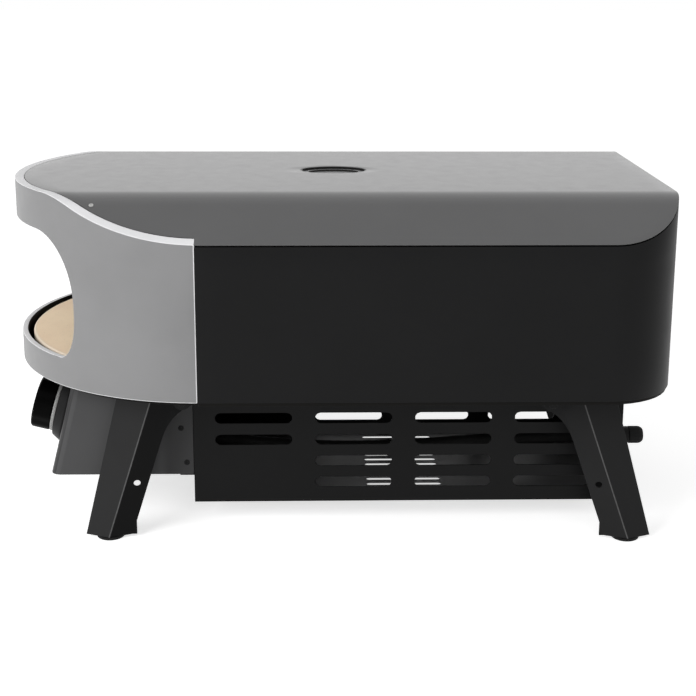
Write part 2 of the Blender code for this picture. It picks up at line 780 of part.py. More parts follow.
def make_turntable():
    """The carrier under the stone: a rim and arms about a hub, with windows between the arms."""
    windows = []
    inner, outer = (TURNTABLE_RADIUS * share for share in TURNTABLE_WINDOW_SHARES)
    pitch = 2 * HALF_TURN / TURNTABLE_ARMS
    for arm in range(TURNTABLE_ARMS):
        start = arm * pitch + TURNTABLE_ARM_ANGLE / 2
        end = (arm + 1) * pitch - TURNTABLE_ARM_ANGLE / 2
        window = arc((0, STONE_Y), outer, start, end, 2 * BEND_STEPS)
        window += arc((0, STONE_Y), inner, end, start, 2 * BEND_STEPS)
        windows.append(window)
    rim = arc((0, STONE_Y), TURNTABLE_RADIUS, 0, 2 * HALF_TURN, ROUND_STEPS)[:-1]
    plate = outline_plate("turntable_plate", [rim, *windows], TURNTABLE_BOTTOM, TURNTABLE_TOP)
    hub_bottom = BEARING_TOP + FIT_GAP
    hub_top = TURNTABLE_BOTTOM + TURNTABLE_THICKNESS / 2
    bore_bottom = hub_bottom - OVERRUN
    bore_top = TURNTABLE_TOP + OVERRUN
    join(plate, rod("hub", (0, STONE_Y, hub_bottom), (0, STONE_Y, hub_top), HUB_RADIUS))
    cut(plate, rod("hub_bore", (0, STONE_Y, bore_bottom), (0, STONE_Y, bore_top), SHAFT_RADIUS + FIT_GAP))
    part(plate, "turntable", "plated_steel", (0, STONE_Y, TURNTABLE_BOTTOM))


def make_shaft():
    """The upright shaft, from the gearbox to the top of the turntable."""
    bottom = HANG_Z + FIT_GAP
    shaft = rod("shaft", (0, STONE_Y, bottom), (0, STONE_Y, TURNTABLE_TOP - FIT_GAP), SHAFT_RADIUS)
    part(shaft, "turntable_shaft", "plated_steel", (0, STONE_Y, bottom))


def make_bearing():
    """The flanged bush that the shaft turns in."""
    bore = SHAFT_RADIUS + RUNNING_GAP
    flange_bottom = PAN_TOP + FIT_GAP
    bottom = PAN_BOTTOM + FIT_GAP
    profile = [
        (BEARING_FLANGE_RADIUS, BEARING_TOP - bottom),
        (BEARING_FLANGE_RADIUS, flange_bottom - bottom),
        (BEARING_RADIUS, flange_bottom - bottom),
        (BEARING_RADIUS, 0),
        (bore, 0),
        (bore, BEARING_TOP - bottom),
    ]
    part(turned("bearing", profile, (0, STONE_Y, bottom), (0, 0, 1)), "shaft_bearing", "brass")


def make_motor():
    """The gear motor that hangs under the floor on the stone's axis."""
    total = GEARBOX_HEIGHT + MOTOR_HEIGHT
    profile = [
        (0, total),
        (GEARBOX_RADIUS, total),
        (GEARBOX_RADIUS, MOTOR_HEIGHT),
        (MOTOR_RADIUS, MOTOR_HEIGHT),
        (MOTOR_RADIUS, 0),
        (0, 0),
    ]
    motor = turned("motor", profile, (0, STONE_Y, HANG_Z - total), (0, 0, 1), ROUND_STEPS)
    part(motor, "drive_motor", "plated_steel")


def make_battery_box():
    """The box for the motor's cells, under the floor on the left, with its lid below."""
    wide, long, deep = BATTERY_BOX_SIZE
    left = -HOUSING_INNER + FLANGE_WIDTH + 2 * FIT_GAP
    front = STONE_Y + GEARBOX_RADIUS + BATTERY_BOX_LEAD
    low = (left, front, HANG_Z - deep)
    high = (left + wide, front + long, HANG_Z)
    part(block("battery", low, high), "battery_box", "plastic_black")
    lid_low = (left, front, HANG_Z - deep - FIT_GAP - BATTERY_LID_THICKNESS)
    lid_high = (left + wide, front + long, HANG_Z - deep - FIT_GAP)
    part(block("battery_cover", lid_low, lid_high), "battery_lid", "plastic_black")


def make_burner():
    """The tube burner across the back of the chamber, on two feet, ported towards the stone."""
    left = (-BURNER_HALF, BURNER_Y, BURNER_Z)
    right = (BURNER_HALF, BURNER_Y, BURNER_Z)
    burner = rod("burner", left, right, BURNER_RADIUS)
    thick = BURNER_LEG_THICKNESS / 2
    wide = BURNER_LEG_WIDTH / 2
    for side in (-1, 1):
        centre = side * (BURNER_HALF - BURNER_LEG_WIDTH)
        low = (centre - thick, BURNER_Y - wide, PAN_TOP + FIT_GAP)
        high = (centre + thick, BURNER_Y + wide, BURNER_Z)
        join(burner, block("burner_foot", low, high))
    reach = BURNER_HALF - 2 * BURNER_LEG_WIDTH
    for port in range(BURNER_PORTS):
        across = (2 * port / (BURNER_PORTS - 1) - 1) * reach
        start = (across, BURNER_Y - BURNER_RADIUS / 2, BURNER_Z)
        end = (across, BURNER_Y - BURNER_RADIUS - OVERRUN, BURNER_Z + BURNER_RADIUS)
        cut(burner, rod("port", start, end, BURNER_PORT_RADIUS, steps=PORT_STEPS))
    part(burner, "burner_tube", "burner_steel")


def make_flame_guard():
    """The low screen that keeps the flame off the edge of the stone."""
    half = HALF_WIDTH * GUARD_LENGTH_SHARE
    bottom = PAN_TOP + FIT_GAP
    profile = [
        (GUARD_Y, bottom),
        (GUARD_Y + GUARD_FOOT, bottom),
        (GUARD_Y + GUARD_FOOT, bottom + SHEET),
        (GUARD_Y + SHEET, bottom + SHEET),
        (GUARD_Y + SHEET, bottom + GUARD_HEIGHT),
        (GUARD_Y, bottom + GUARD_HEIGHT),
    ]
    part(outline_plate("guard", [profile], -half, half, "YZ"), "flame_guard", "liner_steel")


def make_electrode():
    """The ceramic igniter in front of the burner, through the floor, with its wire tip."""
    bottom = PAN_BOTTOM - ELECTRODE_TAIL
    shoulder = BURNER_Z - bottom
    profile = [
        (0, shoulder + ELECTRODE_TIP_LENGTH),
        (ELECTRODE_TIP_RADIUS, shoulder + ELECTRODE_TIP_LENGTH),
        (ELECTRODE_TIP_RADIUS, shoulder),
        (ELECTRODE_RADIUS, shoulder),
        (ELECTRODE_RADIUS, 0),
        (0, 0),
    ]
    electrode = turned("electrode", profile, (ELECTRODE_OFFSET, ELECTRODE_Y, bottom), (0, 0, 1))
    part(electrode, "igniter_electrode", "ceramic_white")


def c_section(height):
    """A housing side's section: upright wall with a flange in at the top and one at the bottom."""
    return [
        (HOUSING_HALF, HOUSING_BOTTOM),
        (HOUSING_HALF, height),
        (HOUSING_HALF - FLANGE_WIDTH, height),
        (HOUSING_HALF - FLANGE_WIDTH, height - SHEET),
        (HOUSING_INNER, height - SHEET),
        (HOUSING_INNER, HOUSING_BOTTOM + SHEET),
        (HOUSING_INNER - BOTTOM_FLANGE_WIDTH, HOUSING_BOTTOM + SHEET),
        (HOUSING_INNER - BOTTOM_FLANGE_WIDTH, HOUSING_BOTTOM),
    ]


def side_slots():
    """The slots of one housing side: full columns, and a short first one over the front foot."""
    slots = []
    first = HOUSING_FRONT_Y + SLOT_MARGIN + SLOT_LENGTH / 2
    for column in range(SLOT_COLUMNS):
        for row in range(SHORT_COLUMN_ROWS if column == 0 else SLOT_ROWS):
            along = first + column * SLOT_COLUMN_PITCH
            height = UNDERSIDE - SLOT_TOP_DROP - row * SLOT_ROW_PITCH
            slots.append(round_slot((along, height), SLOT_LENGTH, SLOT_HEIGHT))
    return slots


def make_side_panels():
    """The slotted sides of the housing, left and right."""
    for name, side in (("right", 1), ("left", -1)):
        section = [(side * x, z) for x, z in c_section(HANG_Z)]
        panel = outline_plate("side", [section], HOUSING_FRONT_Y, HOUSING_REAR_Y, "XZ")
        reach = sorted((side * (HOUSING_INNER - SHEET), side * (HOUSING_HALF + SHEET)))
        cut(panel, outline_plate("slots", side_slots(), *reach, "YZ"))
        part(panel, f"side_panel_{name}", "housing_black")


def make_base_plate():
    """The bottom of the housing, on the flanges of its sides, with the row of cross slots."""
    half = HOUSING_INNER - FIT_GAP
    front = HOUSING_FRONT_Y + SHEET + FIT_GAP
    back = HOUSING_REAR_Y - SHEET - FIT_GAP
    bottom = HOUSING_BOTTOM + SHEET + FIT_GAP
    plate = block("base", (-half, front, bottom), (half, back, bottom + SHEET))
    middle = HOUSING_FRONT_Y + BASE_SLOT_LEAD
    slots = []
    for slot in range(BASE_SLOTS):
        across = (slot - (BASE_SLOTS - 1) / 2) * BASE_SLOT_PITCH
        outline = round_slot((middle, across), BASE_SLOT_LENGTH, BASE_SLOT_WIDTH)
        slots.append([(x, y) for y, x in outline])
    cut(plate, outline_plate("base_slots", slots, bottom - SHEET, bottom + 2 * SHEET))
    part(plate, "base_plate", "housing_black")


def make_housing_ends():
    """The housing's back plate with the inlet hole, and its front plate with a flange forwards."""
    half = HOUSING_INNER - FIT_GAP
    low = HOUSING_BOTTOM + SHEET + FIT_GAP
    high = HANG_Z - SHEET - FIT_GAP
    back = block("back", (-half, HOUSING_REAR_Y - SHEET, low), (half, HOUSING_REAR_Y, high))
    start = (INLET_OFFSET, HOUSING_REAR_Y - OVERRUN, INLET_Z)
    end = (INLET_OFFSET, HOUSING_REAR_Y + OVERRUN, INLET_Z)
    cut(back, rod("inlet_hole", start, end, INLET_PIPE_RADIUS + FIT_GAP))
    part(back, "rear_panel", "housing_black")
    top = CONTROL_BOTTOM - FIT_GAP
    section = [
        (HOUSING_FRONT_Y + SHEET, low),
        (HOUSING_FRONT_Y + SHEET, top),
        (HOUSING_FRONT_Y - CONTROL_LAP, top),
        (HOUSING_FRONT_Y - CONTROL_LAP, top - SHEET),
        (HOUSING_FRONT_Y, top - SHEET),
        (HOUSING_FRONT_Y, low),
    ]
    part(outline_plate("front", [section], -half, half, "YZ"), "front_plate", "housing_black")


def control_prism(name, inset, bottom, top, back):
    """The control box's leaning outline, with rounded front corners, between two levels."""
    half = HOUSING_HALF - inset
    radius = CONTROL_BEVEL - inset
    front = CONTROL_TOP_Y + inset / math.cos(CONTROL_LEAN)
    left = arc((-half + radius, front + radius), radius, HALF_TURN, 3 * QUARTER_TURN, BEND_STEPS // 2)
    right = [(-x, y) for x, y in reversed(left)]
    prism = outline_plate(name, [[*left, *right, (half, back), (-half, back)]], bottom, top)
    lean = Matrix.Identity(4)
    lean[1][2] = CONTROL_SLOPE
    lean[1][3] = -UNDERSIDE * CONTROL_SLOPE
    prism.data.transform(lean)
    return prism


def make_control_box():
    """The folded box under the front, open above and behind, with its leaning panel."""
    back = HOUSING_FRONT_Y + HOUSING_LEAD + OVERRUN
    box = control_prism("control", 0, CONTROL_BOTTOM, HANG_Z, back)
    floor = CONTROL_BOTTOM + SHEET
    hollow = control_prism("control_hollow", SHEET, floor, HANG_Z + OVERRUN, back + OVERRUN)
    trim_y = HOUSING_FRONT_Y - FIT_GAP
    trim = block("control_trim", (-BODY_WIDTH, trim_y, 0), (BODY_WIDTH, back + BODY_WIDTH, BODY_TOP))
    stem = rod("stem_hole", (0, 0, -OVERRUN), (0, 0, OVERRUN), STEM_RADIUS + STEM_CLEARANCE)
    place(stem, panel_frame(KNOB_OFFSET, KNOB_DROP))
    half_x = SWITCH_WIDTH / 2 + SWITCH_WALL + FIT_GAP
    half_y = SWITCH_HEIGHT / 2 + SWITCH_WALL + FIT_GAP
    window = block("switch_window", (-half_x, -half_y, -OVERRUN), (half_x, half_y, OVERRUN))
    place(window, panel_frame(-SWITCH_OFFSET, SWITCH_DROP))
    cut(box, hollow, trim, stem, window)
    part(box, "control_box", "control_grey")


def panel_frame(across, drop):
    """The place on the panel's outer face, with local Y up the slope and local Z out of it."""
    sine, cosine = math.sin(CONTROL_LEAN), math.cos(CONTROL_LEAN)
    place_on = Matrix.Translation((across, CONTROL_TOP_Y - drop * CONTROL_SLOPE, UNDERSIDE - drop))
    return place_on @ Matrix(((1, 0, 0, 0), (0, sine, -cosine, 0), (0, cosine, sine, 0), (0, 0, 0, 1)))


def place(made, matrix):
    """Moves the shape in its mesh, and turns its faces out again where the matrix mirrors it."""
    made.data.transform(matrix)
    if matrix.determinant() < 0:
        made.data.flip_normals()
    return made


def make_bezel():
    """The dished collar round the knob, cupped so that the knob can be pushed in."""
    bore = KNOB_RING_RADIUS + BEZEL_BORE_GAP
    hole = STEM_RADIUS + STEM_CLEARANCE
    profile = [
        (bore, BEZEL_HEIGHT),
        (BEZEL_FACE_RADIUS, BEZEL_HEIGHT),
        (BEZEL_RADIUS, FIT_GAP + BEZEL_FOOT),
        (BEZEL_RADIUS, FIT_GAP),
        (hole, FIT_GAP),
        (hole, FIT_GAP + BEZEL_FOOT),
        (bore, FIT_GAP + BEZEL_FOOT),
    ]
    bezel = turned("bezel", profile, (0, 0, 0), (0, 0, 1), ROUND_STEPS)
    part(place(bezel, panel_frame(KNOB_OFFSET, KNOB_DROP)), "knob_bezel", "plastic_black")


def make_knob():
    """The knob with its finger grips, the knurled ring behind it and the stem that both turn with."""
    frame = panel_frame(KNOB_OFFSET, KNOB_DROP)
    ring_bottom = BEZEL_HEIGHT + KNOB_STANDOFF
    ring_top = ring_bottom + KNOB_RING_THICKNESS
    bore = rod("ring_bore", (0, 0, -OVERRUN), (0, 0, ring_top + OVERRUN), STEM_RADIUS + FIT_GAP)
    outline = waved(KNOB_RING_RADIUS, KNURL_DEPTH, KNURLS, 2 * KNURLS)
    ring = outline_plate("ring", [outline], ring_bottom, ring_top)
    cut(ring, bore)
    part(place(applied(ring, Matrix.Identity(4)), frame), "knob_ring", "plated_steel", frame.translation)
    bottom = ring_top + FIT_GAP
    top = bottom + KNOB_LENGTH
    grips = 3 * ROUND_STEPS // 2
    rings = []
    for inset, z in ((0, bottom), (0, top - KNOB_CHAMFER), (KNOB_CHAMFER, top)):
        outline = waved(KNOB_RADIUS - inset, KNOB_GRIP_DEPTH, KNOB_GRIPS, grips)
        rings.append([(x, y, z) for x, y in outline])
    knob = lofted("knob", rings)
    stem_top = bottom + STEM_HEAD_LENGTH
    cut(knob, rod("knob_bore", (0, 0, 0), (0, 0, stem_top + FIT_GAP), STEM_RADIUS + FIT_GAP))
    part(place(applied(knob, Matrix.Identity(4)), frame), "knob", "plastic_black", frame.translation)
    tail = -SHEET - FIT_GAP - VALVE_BORE_DEPTH + KNOB_TRAVEL + STEM_CLEARANCE
    stem = rod("stem", (0, 0, tail), (0, 0, stem_top), STEM_RADIUS)
    part(place(stem, frame), "valve_stem", "brass", frame.translation)


def make_valve():
    """The gas valve behind the panel, bored for the stem, with the tail that the hose goes on."""
    front = -SHEET - FIT_GAP
    bore = STEM_RADIUS + RUNNING_GAP
    profile = [
        (0, front - VALVE_BORE_DEPTH),
        (bore, front - VALVE_BORE_DEPTH),
        (bore, front),
        (VALVE_RADIUS, front),
        (VALVE_RADIUS, front - VALVE_LENGTH),
        (VALVE_TAIL_RADIUS, front - VALVE_LENGTH),
        (VALVE_TAIL_RADIUS, front - VALVE_LENGTH - VALVE_TAIL_LENGTH),
        (0, front - VALVE_LENGTH - VALVE_TAIL_LENGTH),
    ]
    valve = turned("valve", profile, (0, 0, 0), (0, 0, 1))
    part(place(valve, panel_frame(KNOB_OFFSET, KNOB_DROP)), "gas_valve", "brass")


def make_switch():
    """The rocker that starts the stone, and the case that it tips in."""
    frame = panel_frame(-SWITCH_OFFSET, SWITCH_DROP)
    half_x = SWITCH_WIDTH / 2
    half_y = SWITCH_HEIGHT / 2
    radius = half_y - FIT_GAP
    floor = -SWITCH_PIVOT_DEPTH - radius - FIT_GAP
    rim_x, rim_y = half_x + SWITCH_RIM, half_y + SWITCH_RIM
    case_x, case_y = half_x + SWITCH_WALL, half_y + SWITCH_WALL
    case = block("case", (-rim_x, -rim_y, FIT_GAP), (rim_x, rim_y, SWITCH_STAND))
    low = (-case_x, -case_y, floor - SWITCH_WALL)
    high = (case_x, case_y, SWITCH_STAND / 2)
    join(case, block("case_body", low, high))
    cut(case, block("case_hollow", (-half_x, -half_y, floor), (half_x, half_y, OVERRUN)))
    part(place(applied(case, Matrix.Identity(4)), frame), "switch_case", "plastic_black")
    lip = math.radians(SWITCH_LIP_DEGREES)
    tilt = math.radians(SWITCH_TILT_DEGREES)
    rim = arc((0, 0), radius, HALF_TURN - lip, 2 * HALF_TURN + lip, ROUND_STEPS // 2)
    valley = radius * (math.sin(lip) - math.cos(lip) * math.tan(tilt))
    rocker = outline_plate("rocker", [[*rim, (0, valley)]], FIT_GAP - half_x, half_x - FIT_GAP, "YZ")
    tip = Matrix.Translation((0, 0, -SWITCH_PIVOT_DEPTH)) @ Matrix.Rotation(tilt, 4, "X")
    pivot = frame @ Vector((0, 0, -SWITCH_PIVOT_DEPTH))
    part(place(rocker, frame @ tip), "motor_switch", "plastic_black", pivot)


def make_inlet():
    """The gas inlet through the back plate, and the rubber cap on its end."""
    nut = HOUSING_REAR_Y + FIT_GAP
    shoulder = nut + INLET_NUT_LENGTH
    cap_start = REAR_Y - CAP_END_INSET - CAP_NOSE_LENGTH - CAP_LENGTH
    inner = HOUSING_REAR_Y - SHEET - INLET_TAIL_LENGTH
    profile = [
        (0, cap_start + CAP_LENGTH / 2 - inner),
        (INLET_SPIGOT_RADIUS, cap_start + CAP_LENGTH / 2 - inner),
        (INLET_SPIGOT_RADIUS, cap_start - FIT_GAP - inner),
        (INLET_PIPE_RADIUS, cap_start - FIT_GAP - inner),
        (INLET_PIPE_RADIUS, shoulder - inner),
        (INLET_NUT_RADIUS, shoulder - inner),
        (INLET_NUT_RADIUS, nut - inner),
        (INLET_PIPE_RADIUS, nut - inner),
        (INLET_PIPE_RADIUS, 0),
        (0, 0),
    ]
    inlet = turned("inlet", profile, (INLET_OFFSET, inner, INLET_Z), (0, 1, 0))
    part(inlet, "gas_inlet", "brass")
    ribs = waved(CAP_RADIUS, CAP_RIB_DEPTH, CAP_RIBS, 2 * CAP_RIBS)
    nose = waved(CAP_NOSE_RADIUS, CAP_RIB_DEPTH, CAP_RIBS, 2 * CAP_RIBS)
    levels = [(ribs, 0), (ribs, CAP_LENGTH), (nose, CAP_LENGTH), (nose, CAP_LENGTH + CAP_NOSE_LENGTH)]
    cap = lofted("cap", [[(x, -y, z) for x, y in outline] for outline, z in levels])
    bore = CAP_LENGTH / 2 + FIT_GAP
    cut(cap, rod("cap_bore", (0, 0, -OVERRUN), (0, 0, bore), INLET_SPIGOT_RADIUS + FIT_GAP))
    along = Vector((0, 1, 0)).to_track_quat("Z", "Y").to_matrix().to_4x4()
    seat = Matrix.Translation((INLET_OFFSET, cap_start, INLET_Z)) @ along
    part(place(applied(cap, Matrix.Identity(4)), seat), "inlet_cap", "rubber_black")


def make_gas_line():
    """The hose from the inlet to the valve, and the steel pipe from the valve up to the burner."""
    frame = panel_frame(KNOB_OFFSET, KNOB_DROP)
    tail = -SHEET - 2 * FIT_GAP - VALVE_LENGTH - VALVE_TAIL_LENGTH
    start = Vector((INLET_OFFSET, HOUSING_REAR_Y - SHEET - INLET_TAIL_LENGTH - FIT_GAP, INLET_Z))
    inlet_pull = start - Vector((0, HOSE_INLET_PULL, 0))
    valve_pull = frame @ Vector((0, 0, tail - HOSE_VALVE_PULL))
    end = frame @ Vector((0, 0, tail))
    hose = bezier_path(start, inlet_pull, valve_pull, end, HOSE_STEPS)
    part(tube("hose", hose, HOSE_RADIUS), "feed_hose", "rubber_black")
    side = -SHEET - FIT_GAP - VALVE_LENGTH / 2
    outlet = frame @ Vector((0, VALVE_RADIUS + FIT_GAP, side))
    run = HANG_Z - PIPE_DROP
    rise = (run - outlet.z) / math.cos(CONTROL_LEAN)
    corners = [
        outlet,
        frame @ Vector((0, VALVE_RADIUS + FIT_GAP + rise, side)),
        Vector((KNOB_OFFSET, STONE_Y + GEARBOX_RADIUS, run)),
        Vector((0, BURNER_Y, run)),
        Vector((0, BURNER_Y, BURNER_Z - BURNER_RADIUS - FIT_GAP)),
    ]
    pipe = bent_path(corners, PIPE_BEND, BEND_STEPS)
    part(tube("pipe", pipe, PIPE_RADIUS), "burner_pipe", "plated_steel")


def leg_fold(z, splay):
    """How far the leg's fold line stands out from its pivot, at a height above the pivot."""
    return LEG_FOLD_OFFSET - z * math.tan(splay)


def leg_outline(splay):
    """The leg from the side, about its pivot: outer edge, foot, inner edge, gusset and round tab."""
    foot = LEG_FOOT_REVEAL - PIVOT_Z
    step = foot + LEG_STEP_HEIGHT
    inner = leg_fold(step, splay) - LEG_INNER_WIDTH
    knee = Vector((leg_fold(-LEG_KNEE_DROP, splay) - LEG_INNER_WIDTH, -LEG_KNEE_DROP))
    low = Vector((leg_fold(-LEG_TAB_TAPER, splay) - LEG_INNER_WIDTH, -LEG_TAB_TAPER))
    tab = arc((0, 0), LEG_TAB_RADIUS, -2 * HALF_TURN / 3, -3 * QUARTER_TURN, BEND_STEPS)
    high = Vector(tab[0])
    gusset = []
    for share in range(BEND_STEPS):
        t = share / BEND_STEPS
        gusset.append(tuple(low * (1 - t) ** 2 + 2 * knee * t * (1 - t) + high * t**2))
    return [
        (leg_fold(LEG_TOP_RISE, splay) + LEG_OUTER_TOP_WIDTH, LEG_TOP_RISE),
        (leg_fold(foot, splay) + LEG_OUTER_FOOT_WIDTH, foot),
        (inner, foot),
        (inner, step),
        *gusset,
        *tab[:-1],
        (0, LEG_TOP_RISE),
    ]


def fold_section(splay):
    """The bent sheet's section across its fold: two faces leaning in, the inner one flat at the tab."""
    slope = math.tan(LEG_FACE_ANGLE)
    thick = LEG_SHEET / math.cos(LEG_FACE_ANGLE)
    outer = LEG_OUTER_TOP_WIDTH + OVERRUN
    bend = LEG_INNER_WIDTH * math.cos(splay)
    far = LEG_FOLD_OFFSET + 2 * LEG_TAB_RADIUS
    skin = [(-outer * slope, outer), (0, 0), (-bend * slope, -bend), (-bend * slope, -far)]
    return skin + [(x - thick, s) for x, s in reversed(skin)]


def leg_place(side, end):
    """Where the leg's own frame stands: its fold line's X, its pivot's Y and Z, turned to its corner."""
    inset = FRONT_LEG_INSET if end < 0 else REAR_LEG_INSET
    pivot_y = STONE_Y - FRONT_PIVOT_LEAD if end < 0 else REAR_Y - REAR_PIVOT_INSET
    turn = Matrix.Diagonal((side, end, 1, 1))
    return Matrix.Translation((side * (HALF_WIDTH - inset), pivot_y, PIVOT_Z)) @ turn


def make_legs():
    """Four folded sheet legs, each with its pin, bracket and rubber foot."""
    for end_name, end, splay in (("front", -1, FRONT_LEG_SPLAY), ("rear", 1, REAR_LEG_SPLAY)):
        for side_name, side in (("right", 1), ("left", -1)):
            corner = leg_place(side, end)
            name = f"{end_name}_{side_name}"
            make_leg(name, corner, splay)
            make_bracket(name, corner)
            make_foot(name, corner, splay)


def make_leg(name, corner, splay):
    """One leg: a sheet with one long fold, the barrel that its pin goes through, and a hole."""
    inner = LEG_BRACKET_REACH - BRACKET_WIDTH
    outer = LEG_BRACKET_REACH
    leg = outline_plate("leg", [leg_outline(splay)], -BRACKET_WIDTH, BRACKET_WIDTH, "YZ")
    fold = outline_plate("fold", [fold_section(splay)], -HALF_WIDTH, HALF_WIDTH)
    lean = Matrix.Translation((0, LEG_FOLD_OFFSET, 0)) @ Matrix.Rotation(splay, 4, "X")
    fold.data.transform(lean)
    keep_common(leg, fold)
    join(leg, rod("barrel", (inner + FIT_GAP, 0, 0), (outer - FIT_GAP, 0, 0), BARREL_RADIUS))
    bore = rod("bore", (inner - OVERRUN, 0, 0), (outer + OVERRUN, 0, 0), PIN_RADIUS + RUNNING_GAP)
    hole_z = LEG_HOLE_HEIGHT - PIVOT_Z
    hole_u = leg_fold(hole_z, splay) - LEG_INNER_WIDTH / 2
    hole = rod("hole", (-BRACKET_WIDTH, hole_u, hole_z), (BRACKET_WIDTH, hole_u, hole_z), LEG_HOLE_RADIUS)
    cut(leg, bore, hole)
    leg = place(applied(leg, Matrix.Identity(4)), corner)
    part(leg, f"leg_{name}", "leg_black", corner.translation)


def make_bracket(name, corner):
    """The folded ears under the floor that carry a leg, and the headed pin through them."""
    inner = LEG_BRACKET_REACH - BRACKET_WIDTH
    outer = LEG_BRACKET_REACH
    half = BRACKET_LENGTH / 2
    rise = HANG_Z - PIVOT_Z
    web = rise - BRACKET_SHEET
    low, high = inner - BRACKET_SHEET, outer + BRACKET_SHEET
    round_end = arc((0, 0), BRACKET_CHEEK_RADIUS, HALF_TURN, 2 * HALF_TURN, 2 * BEND_STEPS)
    cheek = [(half, rise), (-half, rise), (-half, web), *round_end, (half, web)]
    bracket = outline_plate("cheeks", [cheek], low, high, "YZ")
    gap_low = (inner, -half - OVERRUN, -BRACKET_CHEEK_RADIUS - OVERRUN)
    gap_high = (outer, half + OVERRUN, web)
    pin_hole = rod("pin_hole", (low - OVERRUN, 0, 0), (high + OVERRUN, 0, 0), PIN_RADIUS + FIT_GAP)
    cut(bracket, block("cheek_gap", gap_low, gap_high), pin_hole)
    bracket = place(applied(bracket, Matrix.Identity(4)), corner)
    part(bracket, f"leg_bracket_{name}", "leg_black")
    length = high - low + 2 * FIT_GAP
    profile = [
        (0, length + PIN_HEAD_LENGTH),
        (PIN_HEAD_RADIUS, length + PIN_HEAD_LENGTH),
        (PIN_HEAD_RADIUS, length),
        (PIN_RADIUS, length),
        (PIN_RADIUS, 0),
        (PIN_HEAD_RADIUS, 0),
        (PIN_HEAD_RADIUS, -PIN_HEAD_LENGTH),
        (0, -PIN_HEAD_LENGTH),
    ]
    pin = turned("pin", profile, (low - FIT_GAP, 0, 0), (1, 0, 0))
    part(place(pin, corner), f"hinge_pin_{name}", "leg_black")


def make_foot(name, corner, splay):
    """The rubber foot under a leg's fold, with the plug that goes up inside it."""
    ground = -PIVOT_Z
    foot = LEG_FOOT_REVEAL - PIVOT_Z
    top = LEG_FOOT_REVEAL - FIT_GAP
    profile = [
        (0, FOOT_PLUG_HEIGHT),
        (FOOT_PLUG_RADIUS, FOOT_PLUG_HEIGHT),
        (FOOT_PLUG_RADIUS, top),
        (FOOT_RADIUS, top),
        (FOOT_RADIUS, FOOT_CHAMFER),
        (FOOT_RADIUS - FOOT_CHAMFER, 0),
        (0, 0),
    ]
    pad = turned("pad", profile, (-FOOT_RADIUS, leg_fold(foot, splay), ground), (0, 0, 1))
    part(place(pad, corner), f"foot_pad_{name}", "rubber_black", corner.translation)


def make_oven():
    make_front_band()
    make_top_cover()
    make_roof_dish()
    make_body_wrap()
    make_floor_pan()
    make_chamber_liner()
    make_stone()
    make_turntable()
    make_shaft()
    make_bearing()
    make_motor()
    make_battery_box()
    make_burner()
    make_flame_guard()
    make_electrode()
    make_side_panels()
    make_base_plate()
    make_housing_ends()
    make_control_box()
    make_bezel()
    make_knob()
    make_valve()
    make_switch()
    make_inlet()
    make_gas_line()
    make_legs()


clear_scene()
OVEN = make_collection("portable_pizza_oven")
CUTTERS = make_collection("cutters")
make_oven()
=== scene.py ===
"""Dresses the portable pizza oven: its painted shells, fittings and finishes, on a pale studio floor.

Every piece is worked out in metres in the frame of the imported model, and rides on one of its bodies.
"""

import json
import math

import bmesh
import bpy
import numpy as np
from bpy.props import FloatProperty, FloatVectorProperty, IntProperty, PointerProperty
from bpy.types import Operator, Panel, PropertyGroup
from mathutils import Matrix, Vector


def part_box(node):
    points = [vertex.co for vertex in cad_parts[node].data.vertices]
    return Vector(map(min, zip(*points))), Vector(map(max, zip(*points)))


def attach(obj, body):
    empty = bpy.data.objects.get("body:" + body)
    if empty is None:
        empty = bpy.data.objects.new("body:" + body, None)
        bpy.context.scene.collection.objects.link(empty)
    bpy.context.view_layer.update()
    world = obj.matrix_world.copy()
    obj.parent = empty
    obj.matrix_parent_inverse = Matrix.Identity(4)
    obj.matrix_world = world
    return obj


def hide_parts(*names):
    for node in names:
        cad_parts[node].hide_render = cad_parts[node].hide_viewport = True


bl_info = {
    "name": "Portable Pizza Oven",
    "version": (1, 0, 0),
    "blender": (4, 5, 0),
    "location": "View3D > Sidebar > Oven",
    "description": "Builds the shells, fittings and finishes of a portable gas pizza oven",
    "category": "Add Mesh",
}

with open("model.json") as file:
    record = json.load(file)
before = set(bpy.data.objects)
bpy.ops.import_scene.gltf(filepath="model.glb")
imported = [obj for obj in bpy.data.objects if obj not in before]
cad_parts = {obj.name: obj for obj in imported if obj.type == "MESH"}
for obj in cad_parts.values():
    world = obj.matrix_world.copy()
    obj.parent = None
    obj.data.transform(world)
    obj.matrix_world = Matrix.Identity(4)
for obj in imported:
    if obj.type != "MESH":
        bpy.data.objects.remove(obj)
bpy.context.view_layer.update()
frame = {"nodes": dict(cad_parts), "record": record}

TURN = 2 * math.pi
RIGHT_ANGLE = math.pi / 2
CORNERS = ("front_right", "front_left", "rear_right", "rear_left")
RECORD = frame["record"]
BODY_OF = {node: body for body, nodes in RECORD["behaviour"]["bodies"].items() for node in nodes}
SLOT_OF = {row["node"]: row["material_slot"] for row in RECORD["subparts"]}
KNOB_JOINT = next(joint for joint in RECORD["behaviour"]["joints"] if joint["name"] == "knob_turn")
KNOB_BASE = np.array(KNOB_JOINT["pos_m"])
PANEL_AXIS = np.array(KNOB_JOINT["axis"])
EAST, NORTH, UP = (1, 0, 0), (0, 1, 0), (0, 0, 1)

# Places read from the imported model
WALL_LOW, WALL_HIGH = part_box("body_wrap")
STONE_LOW, STONE_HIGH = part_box("cooking_stone")
HALF_WIDTH = WALL_HIGH[0]
REAR_Y = WALL_HIGH[1]
UNDERSIDE = WALL_LOW[2]
SEAM_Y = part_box("front_band")[1][1]
ROOF_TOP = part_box("top_cover")[1][2]
STONE_Y = (STONE_LOW[1] + STONE_HIGH[1]) / 2
STONE_RADIUS = STONE_HIGH[0]

